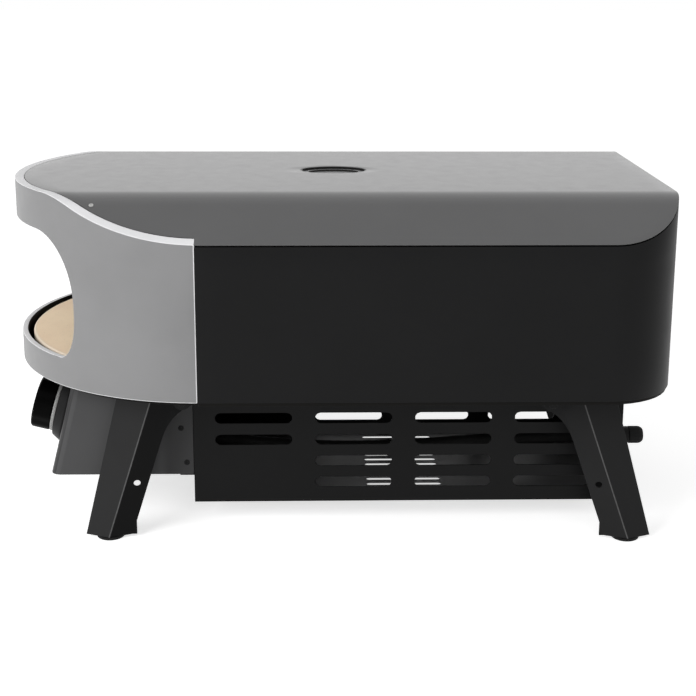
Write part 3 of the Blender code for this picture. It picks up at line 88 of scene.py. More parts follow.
# Places and sizes of small details, in metres
# Where painted shade darkens the control box: behind the front legs and close under the body
SHADE_Y = -0.185
SHADE_FADE = 0.006
SHADE_BELOW, SHADE_ABOVE = 0.045, 0.004
# The painted highlight along a leg's fold, where it begins to fade and ends, and the step to the painted
# shade behind it
FOLD_HIGHLIGHT = (0.0004, 0.0010)
FOLD_SHADE_STEP = 0.0002
STONE_WEAR = (0.0045, 0.0008)
PAINT_GRAIN = 0.00002
MOUTH_SPREAD = 0.035
COLUMN_STEP = 0.0002
NEAR = 1e-6
SOFT_EDGE = 0.0005
COLLAR_EDGE = 0.0006
PIN_EDGE = 0.0007
KNOB_EDGE = 0.0009
KNOB_DISH = 0.0007
MARK_HALF_HEIGHT = 0.0004
RING_EDGE = 0.00025
STONE_BEVEL = 0.0015
STONE_EDGE = 0.0007
CAP_EDGE = 0.0006
FOOT_EDGE = 0.0008
SCREW_SINK = 0.0002
ROOF_SCREW = (0.1698, -0.2440)
BOX_SCREWS = ((-0.1669, 0.1125), (-0.1613, 0.0730))
REAR_SCREW_INSET, REAR_SCREW_DROP, REAR_SCREW_RISE = 0.010, 0.047, 0.020
FLOOR_HALF = 14.0

# Distances within which points are joined, and the angle between faces that count as one
WELD, CAD_WELD, THIN_FACE = 2e-6, 1e-5, 1e-7
ONE_FACE = math.radians(0.3)

# How many points or steps each stretch of a grid has
MOUTH_COLUMNS, SIDE_COLUMNS = 27, 35
SILL_ROWS, FACE_ROWS, ROUND_ROWS = 6, 9, 5
DISH_COLUMNS, FLAT_COLUMNS, EDGE_COLUMNS = 16, 16, 26
FRONT_ROWS, REAR_ROWS = 15, 19
CORNER_POINTS, PLAN_POINTS, WALL_ROWS = 25, 20, 7
RING_ROWS, GRIP_ROWS = 17, 6
HOSE_POINTS = 49
FINE_TURN, PIN_TURN = 192, 40
POINTS_PER_KNURL = 8

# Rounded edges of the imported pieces: rods, cut sheets, pressings, brackets and folded or cast pieces
ROD_EDGE, SHEET_EDGE, PRESSED_EDGE, BRACKET_EDGE, CAST_EDGE = 0.0002, 0.0003, 0.0004, 0.0005, 0.0006

# Shares of the size that each detail follows
ROW_SPREAD_SHARE = 0.25
KNOB_FACE_SHARES = (0.60, 0.66, 0.93, 0.97)
KNOB_SIDE_SHARES = (0.07, 0.12, 0.06)
MARK_END_SHARE = 0.90
# Depths, as shares of the knurl, between which the ring's grooves get painted shade
GROOVE_SHADE_SHARES = (0.62, 1.5)
RIB_START_SHARE, RIB_FADE_SHARE = 0.8, 0.2
CAP_NOSE_SHARES = ((1, 0), (0.95, 0.4), (0.84, 0.75), (0.72, 1), (0.52, 1), (0, 1))
SCREW_RING_SHARES = np.append(np.linspace(0, 0.9, 12), [0.97, 1.0, 1.0])
SCREW_DOME_SHARES = (0.8, 0.02)
SCREW_FOOT_SHARE = 0.6
SCREW_CROSS_SHARES = (0.14, 0.62, 0.45)
ROOF_HEAD_SHARES, BOX_HEAD_SHARES, REAR_HEAD_SHARES = (0.75, 0.75), (1, 0.7), (0.9, 0.8)
FLOOR_GLOW_SHARE = 0.62

# How a face is turned, as the part of its normal along one direction
STRAIGHT_ON, A_LITTLE_OUT, TURNED_IN = 0.9, 0.2, -0.5
ROUND_CORNER = (0.3, 0.95)
A_LITTLE_FORWARD = -0.2


def length(name, description, default):
    """A length that a user may change."""
    return FloatProperty(name=name, description=description, default=default, unit="LENGTH", precision=5)


def colour(name, description, default):
    """A colour that a user may change."""
    return FloatVectorProperty(
        name=name, description=description, default=default, subtype="COLOR", size=3, min=0, max=1
    )


class ShellSizes(PropertyGroup):
    """Sizes of the painted sheets that make the body."""

    sheet: length("Sheet", "Thickness of the folded sheets", 0.0015)
    gap: length("Gap", "Gap between sheets that touch", 0.0003)
    edge: length("Edge", "Rounding of a cut sheet edge", 0.0004)
    fold_half: length("Roof fold", "From the middle to the roof's fold", 0.156)
    bend_radius: length("Roof bend", "Radius of the roof's bend", 0.058)
    shoulder_drop: length("Shoulder drop", "Fall of the roof from its fold to the wall", 0.0393)
    corner_radius: length("Rear corner", "Radius of the rear corners", 0.076)
    band_wall: length("Band wall", "Thickness of the front band", 0.006)
    band_edge: length("Band edge", "Rounding of the band's rim and mouth", 0.0008)
    # The light line beside the seam is a painted highlight
    seam_highlight: length("Seam edge", "Width of the light line beside the band's seam", 0.0005)
    rim_width: length("Rim width", "Width of the band's rim in front", 0.010)
    rim_side: length("Rim side width", "Width of the band's rim at its sides", 0.0078)
    rim_depth: length("Rim depth", "Depth of the band's rim", 0.008)
    mouth_half: length("Mouth half", "Half the width of the mouth", 0.172)
    mouth_height: length("Mouth height", "Height of the mouth", 0.1297)
    sill_rise: length("Sill rise", "Height of the mouth's sill above the underside", 0.0305)
    upper_corner: length("Upper corner", "Width of the mouth's upper corners", 0.046)
    lower_corner: length("Lower corner", "Width of the mouth's lower corners", 0.018)
    lower_rise: length("Lower rise", "Height of the mouth's lower corners", 0.050)
    corner_power: FloatProperty(
        name="Corner power", description="How square the mouth's corners are", default=2.4
    )
    dish_length: length("Dish length", "Length of the oval dish in the roof", 0.074)
    dish_width: length("Dish width", "Width of the oval dish in the roof", 0.050)
    dish_ledge: length("Dish ledge", "Width of the dish's ledge", 0.0085)
    dish_depth: length("Dish depth", "Depth of the ledge below the roof", 0.0022)
    dish_step: length("Dish step", "Depth of the floor below the ledge", 0.0016)


class FittingSizes(PropertyGroup):
    """Sizes of the knob and its collar, the gas fittings, the feet and the screws."""

    knob_radius: length("Knob radius", "Radius of the knob over its grips", 0.0288)
    knob_length: length("Knob length", "Length of the knob", 0.0215)
    knob_grip: length("Grip depth", "Depth of the hollows between the knob's grips", 0.0015)
    mark_length: length("Mark length", "Length of the knob's pointer", 0.012)
    mark_width: length("Mark width", "Width of the knob's pointer", 0.0018)
    ring_thickness: length("Ring thickness", "Thickness of the knurled ring", 0.003)
    knurl_depth: length("Knurl depth", "Depth of the ring's diamond knurl", 0.00045)
    collar_radius: length("Collar radius", "Radius of the collar's foot", 0.0376)
    collar_face: length("Collar face", "Radius of the collar's face", 0.0322)
    collar_height: length("Collar height", "Height of the collar", 0.0115)
    collar_foot: length("Collar foot", "Thickness of the collar's foot", 0.002)
    collar_gap: length("Collar gap", "Gap between the ring and the collar", 0.0014)
    standoff: length("Standoff", "Gap between the collar's face and the ring", 0.0007)
    stem_radius: length("Stem radius", "Radius of the valve's stem", 0.004)
    nut_radius: length("Nut radius", "Radius over the corners of the inlet's nut", 0.0125)
    nut_length: length("Nut length", "Length of the inlet's nut", 0.008)
    pipe_radius: length("Inlet radius", "Radius of the inlet's thread", 0.0095)
    spigot_radius: length("Spigot radius", "Radius of the inlet's end inside the cap", 0.0065)
    cap_radius: length("Cap radius", "Radius of the rubber cap", 0.0097)
    cap_length: length("Cap length", "Length of the cap's ribbed part", 0.0114)
    cap_nose: length("Cap nose", "Length of the cap's rounded nose", 0.005)
    cap_rib: length("Cap rib", "Depth of the grooves between the cap's ribs", 0.0005)
    hose_radius: length("Hose radius", "Radius of the feed hose", 0.0078)
    hose_rear_pull: length("Hose rear pull", "How far the hose runs straight from the inlet", 0.180)
    hose_front_pull: length("Hose front pull", "How far the hose runs straight to the valve", 0.260)
    valve_depth: length("Valve depth", "From the panel to the valve's tail", 0.0521)
    foot_radius: length("Foot radius", "Radius of a rubber foot", 0.015)
    foot_height: length("Foot height", "Height of a foot below the leg", 0.0033)
    foot_plug: length("Foot plug", "Radius of the plug that holds a foot", 0.0105)
    pin_radius: length("Pin radius", "Radius of a hinge pin", 0.003)
    pin_head: length("Pin head", "Radius of a pin's head", 0.0055)
    pin_head_length: length("Pin head length", "Length of a pin's head", 0.002)
    screw_radius: length("Screw radius", "Radius of a screw's head", 0.0031)
    screw_height: length("Screw height", "Height of a screw's head", 0.0014)
    ribs: IntProperty(name="Cap ribs", description="Ribs round the cap", default=16)
    grips: IntProperty(name="Grips", description="Grips round the knob", default=6)
    knurls: IntProperty(name="Knurls", description="Diamonds round the ring", default=112)


class Colours(PropertyGroup):
    """Colours of the finishes, as linear values."""

    band: colour("Band", "Grey paint of the front band", (0.170, 0.170, 0.172))
    # The rim's pale paint also gives the band's mouth edge, seam line and lower edge painted highlights
    rim: colour("Rim", "Light cut edges of the front band", (0.62, 0.62, 0.63))
    cover: colour("Cover", "Dark grey satin paint of the roof", (0.043, 0.043, 0.044))
    wall: colour("Wall", "Black paint of the walls", (0.0048, 0.0048, 0.0050))
    housing: colour("Housing", "Black paint of the vented housing", (0.0036, 0.0036, 0.0037))
    control: colour("Control box", "Dark grey paint of the control box", (0.054, 0.054, 0.055))
    plate: colour("Base plate", "Grey paint of the housing's base plate", (0.125, 0.125, 0.127))
    leg: colour("Leg", "Black paint of the legs", (0.0215, 0.0215, 0.0218))
    pan: colour("Pan", "Dark enamel of the floor pan", (0.0040, 0.0038, 0.0034))
    liner: colour("Liner", "Steel of the cooking chamber", (0.34, 0.33, 0.315))
    stone: colour("Stone", "Baked cordierite", (0.98, 0.765, 0.545))
    plated: colour("Plated steel", "Zinc plated steel", (0.55, 0.55, 0.54))
    knurl: colour("Knurled ring", "Pale alloy of the knurled ring", (0.46, 0.46, 0.45))
    brass: colour("Brass", "Gas fittings", (0.60, 0.44, 0.18))
    rubber: colour("Rubber", "Hose, feet and cap", (0.006, 0.006, 0.006))
    plastic: colour("Plastic", "Knob, switch and boxes", (0.0009, 0.0009, 0.0009))
    collar: colour("Collar", "Dark plastic of the knob's collar", (0.0070, 0.0070, 0.0072))
    ceramic: colour("Ceramic", "Igniter insulator", (0.82, 0.80, 0.74))


class Socket:
    """A value in a material's nodes. Operators on it add Math nodes."""

    def __init__(self, tree, socket):
        self.tree = tree
        self.socket = socket

    def maths(self, operation, *values):
        return self.tree.node("ShaderNodeMath", {"operation": operation}, dict(enumerate(values)))

    def __add__(self, other):
        return self.maths("ADD", self, other)

    def __sub__(self, other):
        return self.maths("SUBTRACT", self, other)

    def __rsub__(self, other):
        return self.maths("SUBTRACT", other, self)

    def __mul__(self, other):
        return self.maths("MULTIPLY", self, other)

    def __pow__(self, other):
        return self.maths("POWER", self, other)

    __radd__ = __add__
    __rmul__ = __mul__

    def size(self):
        """The value without its sign."""
        return self.maths("ABSOLUTE", self)

    def rise(self, low, high):
        """Zero below low, one above high and smooth between."""
        settings = {"interpolation_type": "SMOOTHSTEP"}
        inputs = {"Value": self, "From Min": low, "From Max": high}
        return self.tree.node("ShaderNodeMapRange", settings, inputs)


class Nodes:
    """The nodes of one material or world, added by name with their settings and inputs."""

    def __init__(self, owner):
        owner.use_nodes = True
        self.tree = owner.node_tree

    def node(self, kind, settings=None, inputs=None, output=0):
        made = self.tree.nodes.new(kind)
        for name, value in (settings or {}).items():
            setattr(made, name, value)
        for name, value in (inputs or {}).items():
            self.feed(made.inputs[name], value)
        return Socket(self, made.outputs[output])

    def feed(self, socket, value):
        if isinstance(value, Socket):
            self.tree.links.new(value.socket, socket)
        elif isinstance(value, (tuple, list)) and len(value) < len(socket.default_value):
            socket.default_value = (*value, 1)
        else:
            socket.default_value = value

    def point(self):
        return self.node("ShaderNodeTexCoord", output="Object")

    def plainly_seen(self):
        """One for the camera, a reflection and a view through glass, and zero for other light."""
        rays = self.node("ShaderNodeLightPath").socket.node.outputs
        camera, glossy, through = (
            Socket(self, rays[f"Is {kind} Ray"]) for kind in ("Camera", "Glossy", "Transmission")
        )
        settings = {"operation": "ADD", "use_clamp": True}
        return self.node("ShaderNodeMath", settings, {0: camera + glossy, 1: through})

    def axes(self):
        """The three coordinates of the shaded point."""
        split = self.node("ShaderNodeSeparateXYZ", None, {0: self.point()})
        outputs = split.socket.node.outputs
        return [Socket(self, outputs[axis]) for axis in "XYZ"]

    def stretched(self, scale):
        """The shaded point with its axes stretched, for grain that runs one way."""
        return self.node("ShaderNodeMapping", None, {"Vector": self.point(), "Scale": scale})

    def noise(self, scale, detail, roughness=0.55, point=None):
        inputs = {"Vector": point or self.point(), "Scale": scale}
        inputs |= {"Detail": detail, "Roughness": roughness}
        return self.node("ShaderNodeTexNoise", None, inputs)

    def cells(self, scale):
        """The distance to the nearest of many scattered points."""
        return self.node("ShaderNodeTexVoronoi", None, {"Vector": self.point(), "Scale": scale})

    def mix(self, share, first, second):
        settings = {"data_type": "RGBA"}
        node = self.node("ShaderNodeMix", settings, {"Factor": share}).socket.node
        self.feed(node.inputs[6], first)
        self.feed(node.inputs[7], second)
        return Socket(self, node.outputs[2])


FINISHES = {}


class Finish(Nodes):
    """A material about one Principled shader, kept by its name."""

    def __init__(self, name):
        material = bpy.data.materials.new(name)
        super().__init__(material)
        self.shader = self.tree.nodes["Principled BSDF"]
        FINISHES[name] = material

    def set(self, **values):
        for name, value in values.items():
            self.feed(self.shader.inputs[name.replace("_", " ").title()], value)

    def level(self, name, value):
        """Sets a plain number on the shader's own socket."""
        self.shader.inputs[name].default_value = value

    def bump(self, height, distance):
        inputs = {"Height": height, "Distance": distance, "Strength": 1.0}
        self.set(normal=self.node("ShaderNodeBump", None, inputs))

    def clouded(self, paint, change=0.06):
        """A colour that wanders a little darker and paler in broad patches."""
        cloud = self.noise(scale=9, detail=4).rise(0.3, 0.7)
        return self.mix(cloud, shade(paint, 1 - change), shade(paint, 1 + change))

    def baked(self, base, roughness, sheen):
        """The surface of baked paint: its gloss wanders a little, over fine orange peel."""
        gloss = self.noise(scale=60, detail=4) - 0.5
        self.set(base_color=base, roughness=roughness + gloss * 0.10)
        self.level("Specular IOR Level", sheen)
        peel = self.noise(scale=1100, detail=3) + self.noise(scale=260, detail=2) * 0.6
        self.bump(peel, PAINT_GRAIN)


def shade(value, factor):
    """A colour made lighter or darker."""
    return tuple(min(1.0, channel * factor) for channel in value)


def painted(name, paint, roughness, sheen=0.5):
    """Baked paint: fine orange peel, faint cloudiness, pale specks and a little change of gloss."""
    finish = Finish(name)
    speck = finish.noise(scale=1400, detail=2).rise(0.62, 0.8) * 0.35
    base = finish.mix(speck, finish.clouded(paint), shade(paint, 1.35))
    finish.baked(base, roughness, sheen)


def fold_line(node):
    """A leg's outer fold: of the node's long edges, the one that lies furthest out."""
    mesh = frame["nodes"][node].data
    points = np.empty(len(mesh.vertices) * 3)
    edges = np.empty(len(mesh.edges) * 2, dtype=np.int64)
    mesh.vertices.foreach_get("co", points)
    mesh.edges.foreach_get("vertices", edges)
    ends = points.reshape(-1, 3)[edges.reshape(-1, 2)]
    reach = np.linalg.norm(ends[:, 1] - ends[:, 0], axis=1)
    ends = ends[reach > 0.7 * reach.max()]
    return ends[ends[:, :, 0].mean(axis=1).argmax()]


def folded_paint(name, paint, node, beyond):
    """Black paint with a painted highlight along a leg's fold, and painted shade behind it where beyond
    is below one.

    The painted highlight is where the point lies near the fold's line, as seen from the side.
    """
    foot, top = fold_line(node)
    lean = float((top[1] - foot[1]) / (top[2] - foot[2]))
    start = float(foot[1] - lean * foot[2])
    finish = Finish(name)
    _, north, up = finish.axes()
    behind = north - up * lean - start
    # A painted highlight along the fold, broken into patches
    wear = 0.7 + (finish.noise(scale=160, detail=3) - 0.5) * 0.6
    worn = (1 - behind.size().rise(*FOLD_HIGHLIGHT)) * wear
    # Behind the fold the paint is scaled by beyond, which paints shade on the front legs' faces turned
    # from the light
    base = finish.mix(behind.rise(-FOLD_SHADE_STEP, FOLD_SHADE_STEP), finish.clouded(paint), shade(paint, beyond))
    # The pale grey of the painted highlight
    base = finish.mix(worn, base, (0.12, 0.12, 0.12))
    finish.baked(base, roughness=0.40, sheen=0.05)


def painted_shade_grey(name, paint):
    """Grey paint with painted shade: darker close under the body and behind the front legs."""
    finish = Finish(name)
    _, north, up = finish.axes()
    under = up.rise(UNDERSIDE - SHADE_BELOW, UNDERSIDE + SHADE_ABOVE) * 0.75
    behind = north.rise(SHADE_Y - SHADE_FADE, SHADE_Y + SHADE_FADE) * 0.55
    painted_shade = 1 - (1 - under) * (1 - behind)
    base = finish.mix(painted_shade, finish.clouded(paint, change=0.04), shade(paint, 0.18))
    finish.baked(base, roughness=0.45, sheen=0.2)


def brushed(name, metal, roughness, stretch, metallic=1.0):
    """Drawn or brushed metal: long fine scratches along one axis, and faint stains."""
    finish = Finish(name)
    grain = finish.noise(90, 5, 0.7, finish.stretched(stretch))
    stain = finish.noise(scale=14, detail=4)
    base = finish.mix(grain, shade(metal, 0.86), shade(metal, 1.1))
    base = finish.mix(stain.rise(0.5, 0.8) * 0.3, base, shade(metal, 0.75))
    finish.set(base_color=base, roughness=roughness + (grain - 0.5) * 0.25 + stain * 0.06)
    finish.level("Metallic", metallic)
    finish.bump(grain, PAINT_GRAIN)


def moulded(name, plastic, roughness, grain=0.00004, sheen=0.5):
    """Moulded plastic or rubber: an even fine texture with soft patches."""
    finish = Finish(name)
    patch = finish.noise(scale=30, detail=3)
    base = finish.mix(patch.rise(0.35, 0.7), shade(plastic, 0.9), shade(plastic, 1.3))
    finish.set(base_color=base, roughness=roughness + (patch - 0.5) * 0.12)
    finish.level("Specular IOR Level", sheen)
    finish.bump(finish.noise(scale=1700, detail=2) + finish.cells(900) * 0.5, grain)


def baked_stone(name, body):
    """Pressed cordierite: warm clay with pale and brown grains, fine pits and paler worn edges."""
    pale_grain, brown_grain, worn = (0.80, 0.70, 0.56), (0.42, 0.29, 0.18), (0.83, 0.76, 0.66)
    finish = Finish(name)
    cloud = finish.noise(scale=11, detail=5).rise(0.3, 0.72)
    pale = finish.noise(520, 3, 0.6)
    brown = finish.noise(scale=700, detail=2).rise(0.66, 0.76) * 0.5
    base = finish.mix(cloud, shade(body, 0.93), shade(body, 1.06))
    base = finish.mix(pale.rise(0.58, 0.72) * 0.45, base, pale_grain)
    base = finish.mix(brown, base, brown_grain)
    east, north, _ = finish.axes()
    far = (east ** 2 + (north - STONE_Y) ** 2) ** 0.5
    rim = far.rise(*(STONE_RADIUS - wear for wear in STONE_WEAR))
    base = finish.mix(rim * 0.55, base, worn)
    finish.set(base_color=base, roughness=0.86 + (pale - 0.5) * 0.12)
    finish.bump(finish.noise(scale=900, detail=4) + finish.cells(420) * 0.4, 0.00012)


def make_finishes(colours):
    """Every finish of the oven. Those that the record has a slot for carry its name."""
    painted("band_grey", colours.band, 0.42)
    # The rim's pale paint, which also paints highlights on the band's mouth edge, seam line and lower
    # edge
    painted("band_rim_and_painted_highlight", colours.rim, 0.36)
    painted("cover_grey", colours.cover, 0.19, sheen=0.85)
    painted("wall_black", colours.wall, 0.42, sheen=0.11)
    painted("housing_black", colours.housing, 0.45, sheen=0.12)
    # The control box's grey carries painted shade under the body and behind the front legs
    painted_shade_grey("control_grey", colours.control)
    # Painted shade on the control box's rounded front corners
    painted("control_corner_painted_shade", shade(colours.control, 0.5), 0.45, sheen=0.2)
    painted("plate_grey", colours.plate, 0.45, sheen=0.25)
    painted("leg_black", shade(colours.leg, 0.5), 0.40, sheen=0.08)
    # The front legs' faces behind the fold get painted shade
    folded_paint("front_leg_paint", colours.leg, "leg_front_right", 0.28)
    # The rear legs are painted in a darker copy of the leg paint, as painted shade
    folded_paint("rear_leg_paint", shade(colours.leg, 0.8), "leg_rear_right", 1.0)
    painted("pan_black", colours.pan, 0.5, sheen=0.08)
    brushed("knurled_alloy", colours.knurl, 0.40, (6, 6, 6), metallic=0.5)
    brushed("liner_steel", colours.liner, 0.38, (1, 12, 12), metallic=0.9)
    baked_stone("cordierite", colours.stone)
    brushed("plated_steel", colours.plated, 0.32, (6, 6, 1))
    brushed("burner_steel", colours.liner, 0.34, (1, 14, 14))
    moulded("ceramic_white", colours.ceramic, 0.3, grain=0.00001)
    brushed("brass", colours.brass, 0.3, (8, 1, 8))
    moulded("rubber_black", colours.rubber, 0.7, grain=0.00008, sheen=0.2)
    moulded("plastic_black", colours.plastic, 0.4, sheen=0.03)
    # The collar's dark plastic, which also paints shade in the knurled ring's grooves
    moulded("collar_plastic", colours.collar, 0.5, sheen=0.15)
    moulded("mark_white", colours.ceramic, 0.45, grain=0.00001)


def grid_faces(rows, columns, wrap=False):
    """The quads of a grid of points, row by row. A wrapped grid closes after its last column."""
    numbers = np.arange(rows * columns).reshape(rows, columns)
    if wrap:
        numbers = np.hstack([numbers, numbers[:, :1]])
    corners = (numbers[:-1, :-1], numbers[:-1, 1:], numbers[1:, 1:], numbers[1:, :-1])
    return np.stack(corners, axis=-1).reshape(-1, 4)


def polygons(quads):
    """Quads with a repeated corner become triangles, and those that are only a line are left out."""
    same = quads == np.roll(quads, -1, axis=1)
    count = same.sum(axis=1)
    thin = quads[count == 1]
    order = (same[count == 1].argmax(axis=1)[:, None] + np.arange(1, 4)) % 4
    triangles = np.take_along_axis(thin, order, axis=1)
    return quads[count == 0].tolist() + triangles.tolist()


def welded(outer, inner, quads):
    """Points that share a place become one, in both skins."""
    keys = np.round(outer * 1e6).astype(np.int64)
    _, first, number = np.unique(keys, axis=0, return_index=True, return_inverse=True)
    return outer[first], inner[first], number.reshape(-1)[quads]


def unit(vectors):
    """Each vector made one long. One without a length stays as it is."""
    return vectors / np.maximum(np.linalg.norm(vectors, axis=-1, keepdims=True), 1e-15)


def closed_shell(outer, inner, quads, edge, steps=3):
    """Two skins and the rounded edge between them.

    Each open edge of the outer skin is carried over to the inner one: a quarter round of the edge's
    radius outwards, straight across, and a quarter round back.
    """
    outer, inner, quads = welded(outer.reshape(-1, 3), inner.reshape(-1, 3), quads)
    total = len(outer)
    starts = quads.reshape(-1)
    ends = np.roll(quads, -1, axis=1).reshape(-1)
    real = starts != ends
    starts, ends = starts[real], ends[real]
    open_edge = ~np.isin(starts * total + ends, ends * total + starts)
    starts, ends = starts[open_edge], ends[open_edge]
    one, two, three, four = (outer[quads[:, corner]] for corner in range(4))
    face = unit(np.cross(three - one, four - two))
    normals = np.zeros_like(outer)
    for corner in range(4):
        np.add.at(normals, quads[:, corner], face)
    normals = unit(normals)
    along = unit(outer[ends] - outer[starts])
    outward = np.zeros_like(outer)
    for found in (starts, ends):
        np.add.at(outward, found, np.cross(along, normals[found]))
    border = np.unique(starts)
    outward = unit(outward)[border]
    across = inner[border] - outer[border]
    radius = np.minimum(edge, np.linalg.norm(across, axis=1, keepdims=True) / 2)
    across = unit(across)
    angle = np.linspace(0, RIGHT_ANGLE, steps + 1)[1:]
    rings = []
    for skin, way, turns in ((outer, across, angle), (inner, -across, angle[::-1])):
        for turn in turns:
            depth = way * radius * (1 - math.cos(turn))
            rings.append(skin[border] + depth + outward * radius * math.sin(turn))
    points = np.concatenate([outer, inner, *rings])
    place = np.zeros(total, dtype=np.int64)
    place[border] = np.arange(len(border))
    levels = [np.arange(total)] + [2 * total + k * len(border) + place for k in range(2 * steps)]
    levels.append(np.arange(total) + total)
    strips = [
        np.stack([before[ends], before[starts], after[starts], after[ends]], axis=1)
        for before, after in zip(levels, levels[1:])
    ]
    return points, np.concatenate([quads, quads[:, ::-1] + total, *strips])


def mesh_piece(name, points, quads, finish, nodes, sharp, body="oven"):
    """A finished piece from its points and quads, in place of CAD nodes or as trim on a body."""
    mesh = bpy.data.meshes.new(name)
    mesh.from_pydata(points.tolist(), [], polygons(quads))
    bm = bmesh.new()
    bm.from_mesh(mesh)
    bmesh.ops.remove_doubles(bm, verts=bm.verts, dist=WELD)
    bmesh.ops.dissolve_degenerate(bm, edges=bm.edges, dist=THIN_FACE)
    bmesh.ops.holes_fill(bm, edges=[edge for edge in bm.edges if edge.is_boundary], sides=0)
    bmesh.ops.recalc_face_normals(bm, faces=bm.faces)
    bm.to_mesh(mesh)
    bm.free()
    return ridden(mesh, name, finish, nodes, sharp, body)


def ridden(mesh, name, finish, nodes, sharp, body="oven"):
    """Puts a mesh in the scene as a piece with its finish, on the body it rides on, and hides its nodes.
    """
    piece = bpy.data.objects.new(name, mesh)
    bpy.context.scene.collection.objects.link(piece)
    mesh.materials.clear()
    mesh.materials.append(FINISHES[finish])
    mesh.shade_smooth()
    mesh.set_sharp_from_angle(angle=math.radians(sharp))
    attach(piece, BODY_OF[nodes[0]] if nodes else body)
    if nodes:
        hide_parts(*nodes)
    finish in SLOT_OF.values()
    return piece


def grid_piece(name, grids, finish, nodes=(), body="oven", sharp=35.0):
    """A piece from grids that each close round, counted on in one mesh."""
    quads, total = [], 0
    for grid in grids:
        quads.append(grid_faces(*grid.shape[:2], wrap=True) + total)
        total += grid.shape[0] * grid.shape[1]
    points = np.concatenate([grid.reshape(-1, 3) for grid in grids])
    return mesh_piece(name, points, np.concatenate(quads), finish, nodes, sharp, body)


def face_vectors(piece, kind):
    """The centre or the normal of every face of a piece, as the kind says."""
    found = np.zeros(len(piece.data.polygons) * 3)
    piece.data.polygons.foreach_get(kind, found)
    return found.reshape(-1, 3)


def trim_faces(piece, finish, chosen):
    """Gives the chosen faces of a piece one more finish."""
    mesh = piece.data
    slots = np.zeros(len(mesh.polygons), dtype=np.int32)
    mesh.polygons.foreach_get("material_index", slots)
    slots[chosen] = len(mesh.materials)
    mesh.materials.append(FINISHES[finish])
    mesh.polygons.foreach_set("material_index", slots)


def opened_faces(shape, row, is_open):
    """The quads of a grid, without those of one row where the grid is open."""
    rows, columns = shape[:2]
    quads = grid_faces(rows, columns).reshape(rows - 1, columns - 1, 4)
    kept = np.ones(quads.shape[:2], dtype=bool)
    kept[row] = ~is_open
    return quads[kept]


def eased(start, end, count):
    """Values from start to end that crowd towards the end, as a turning radius projects."""
    return start + (end - start) * np.sin(np.linspace(0, RIGHT_ANGLE, count + 1))


def columns_of(*runs, apart=0.00004):
    """The columns of several runs together, in order, without near repeats, and mirrored."""
    found = np.unique(np.concatenate(runs))
    keep = np.append(True, np.diff(found) > apart)
    found = found[keep]
    return np.concatenate([-found[:0:-1], found])


def roof_bend(sizes):
    """The angle at which the roof's shoulder falls, and the distance across where its bend begins."""
    fall = math.atan2(sizes.shoulder_drop, HALF_WIDTH - sizes.fold_half)
    return fall, sizes.fold_half - sizes.bend_radius * math.tan(fall / 2)


def roof_height(across, sizes, inset=0.0):
    """The roof's section: flat, a round bend, then a straight fall, moved inwards by the inset."""
    across = np.abs(across)
    fall, start = roof_bend(sizes)
    radius = sizes.bend_radius - inset
    centre = ROOF_TOP - sizes.bend_radius
    last = start + radius * math.sin(fall)
    bend = centre + np.sqrt(np.maximum(radius**2 - (across - start) ** 2, 0))
    slope = centre + radius * math.cos(fall) - (across - last) * math.tan(fall)
    return np.where(across < start, ROOF_TOP - inset, np.where(across < last, bend, slope))


def bend_columns(sizes, count=10):
    """Columns along the roof's bend, evenly by angle."""
    fall, start = roof_bend(sizes)
    return start + sizes.bend_radius * np.sin(np.linspace(0, fall, count + 1))


def mouth_edges(across, sizes, grow):
    """The mouth's lower and upper edge: flat, then superelliptic corners that meet at the sides."""
    middle = UNDERSIDE + sizes.sill_rise + sizes.lower_rise
    corners = (
        (-1, sizes.lower_corner, sizes.lower_rise),
        (1, sizes.upper_corner, sizes.mouth_height - sizes.lower_rise),
    )
    edges = []
    for side, wide, tall in corners:
        share = np.clip((np.abs(across) - (sizes.mouth_half - wide)) / (wide + grow), 0, 1)
        bulge = (1 - share**sizes.corner_power) ** (1 / sizes.corner_power)
        edges.append(middle + side * (tall + grow) * bulge)
    return edges


def mouth_columns(sizes, grow, count=26):
    """Columns of the mouth's two corners, evenly by the superellipse's angle."""
    turn = np.linspace(0, RIGHT_ANGLE, count + 1)
    runs = []
    for wide in (sizes.lower_corner, sizes.upper_corner):
        runs.append(sizes.mouth_half - wide + (wide + grow) * np.cos(turn) ** (2 / sizes.corner_power))
    return np.concatenate(runs)


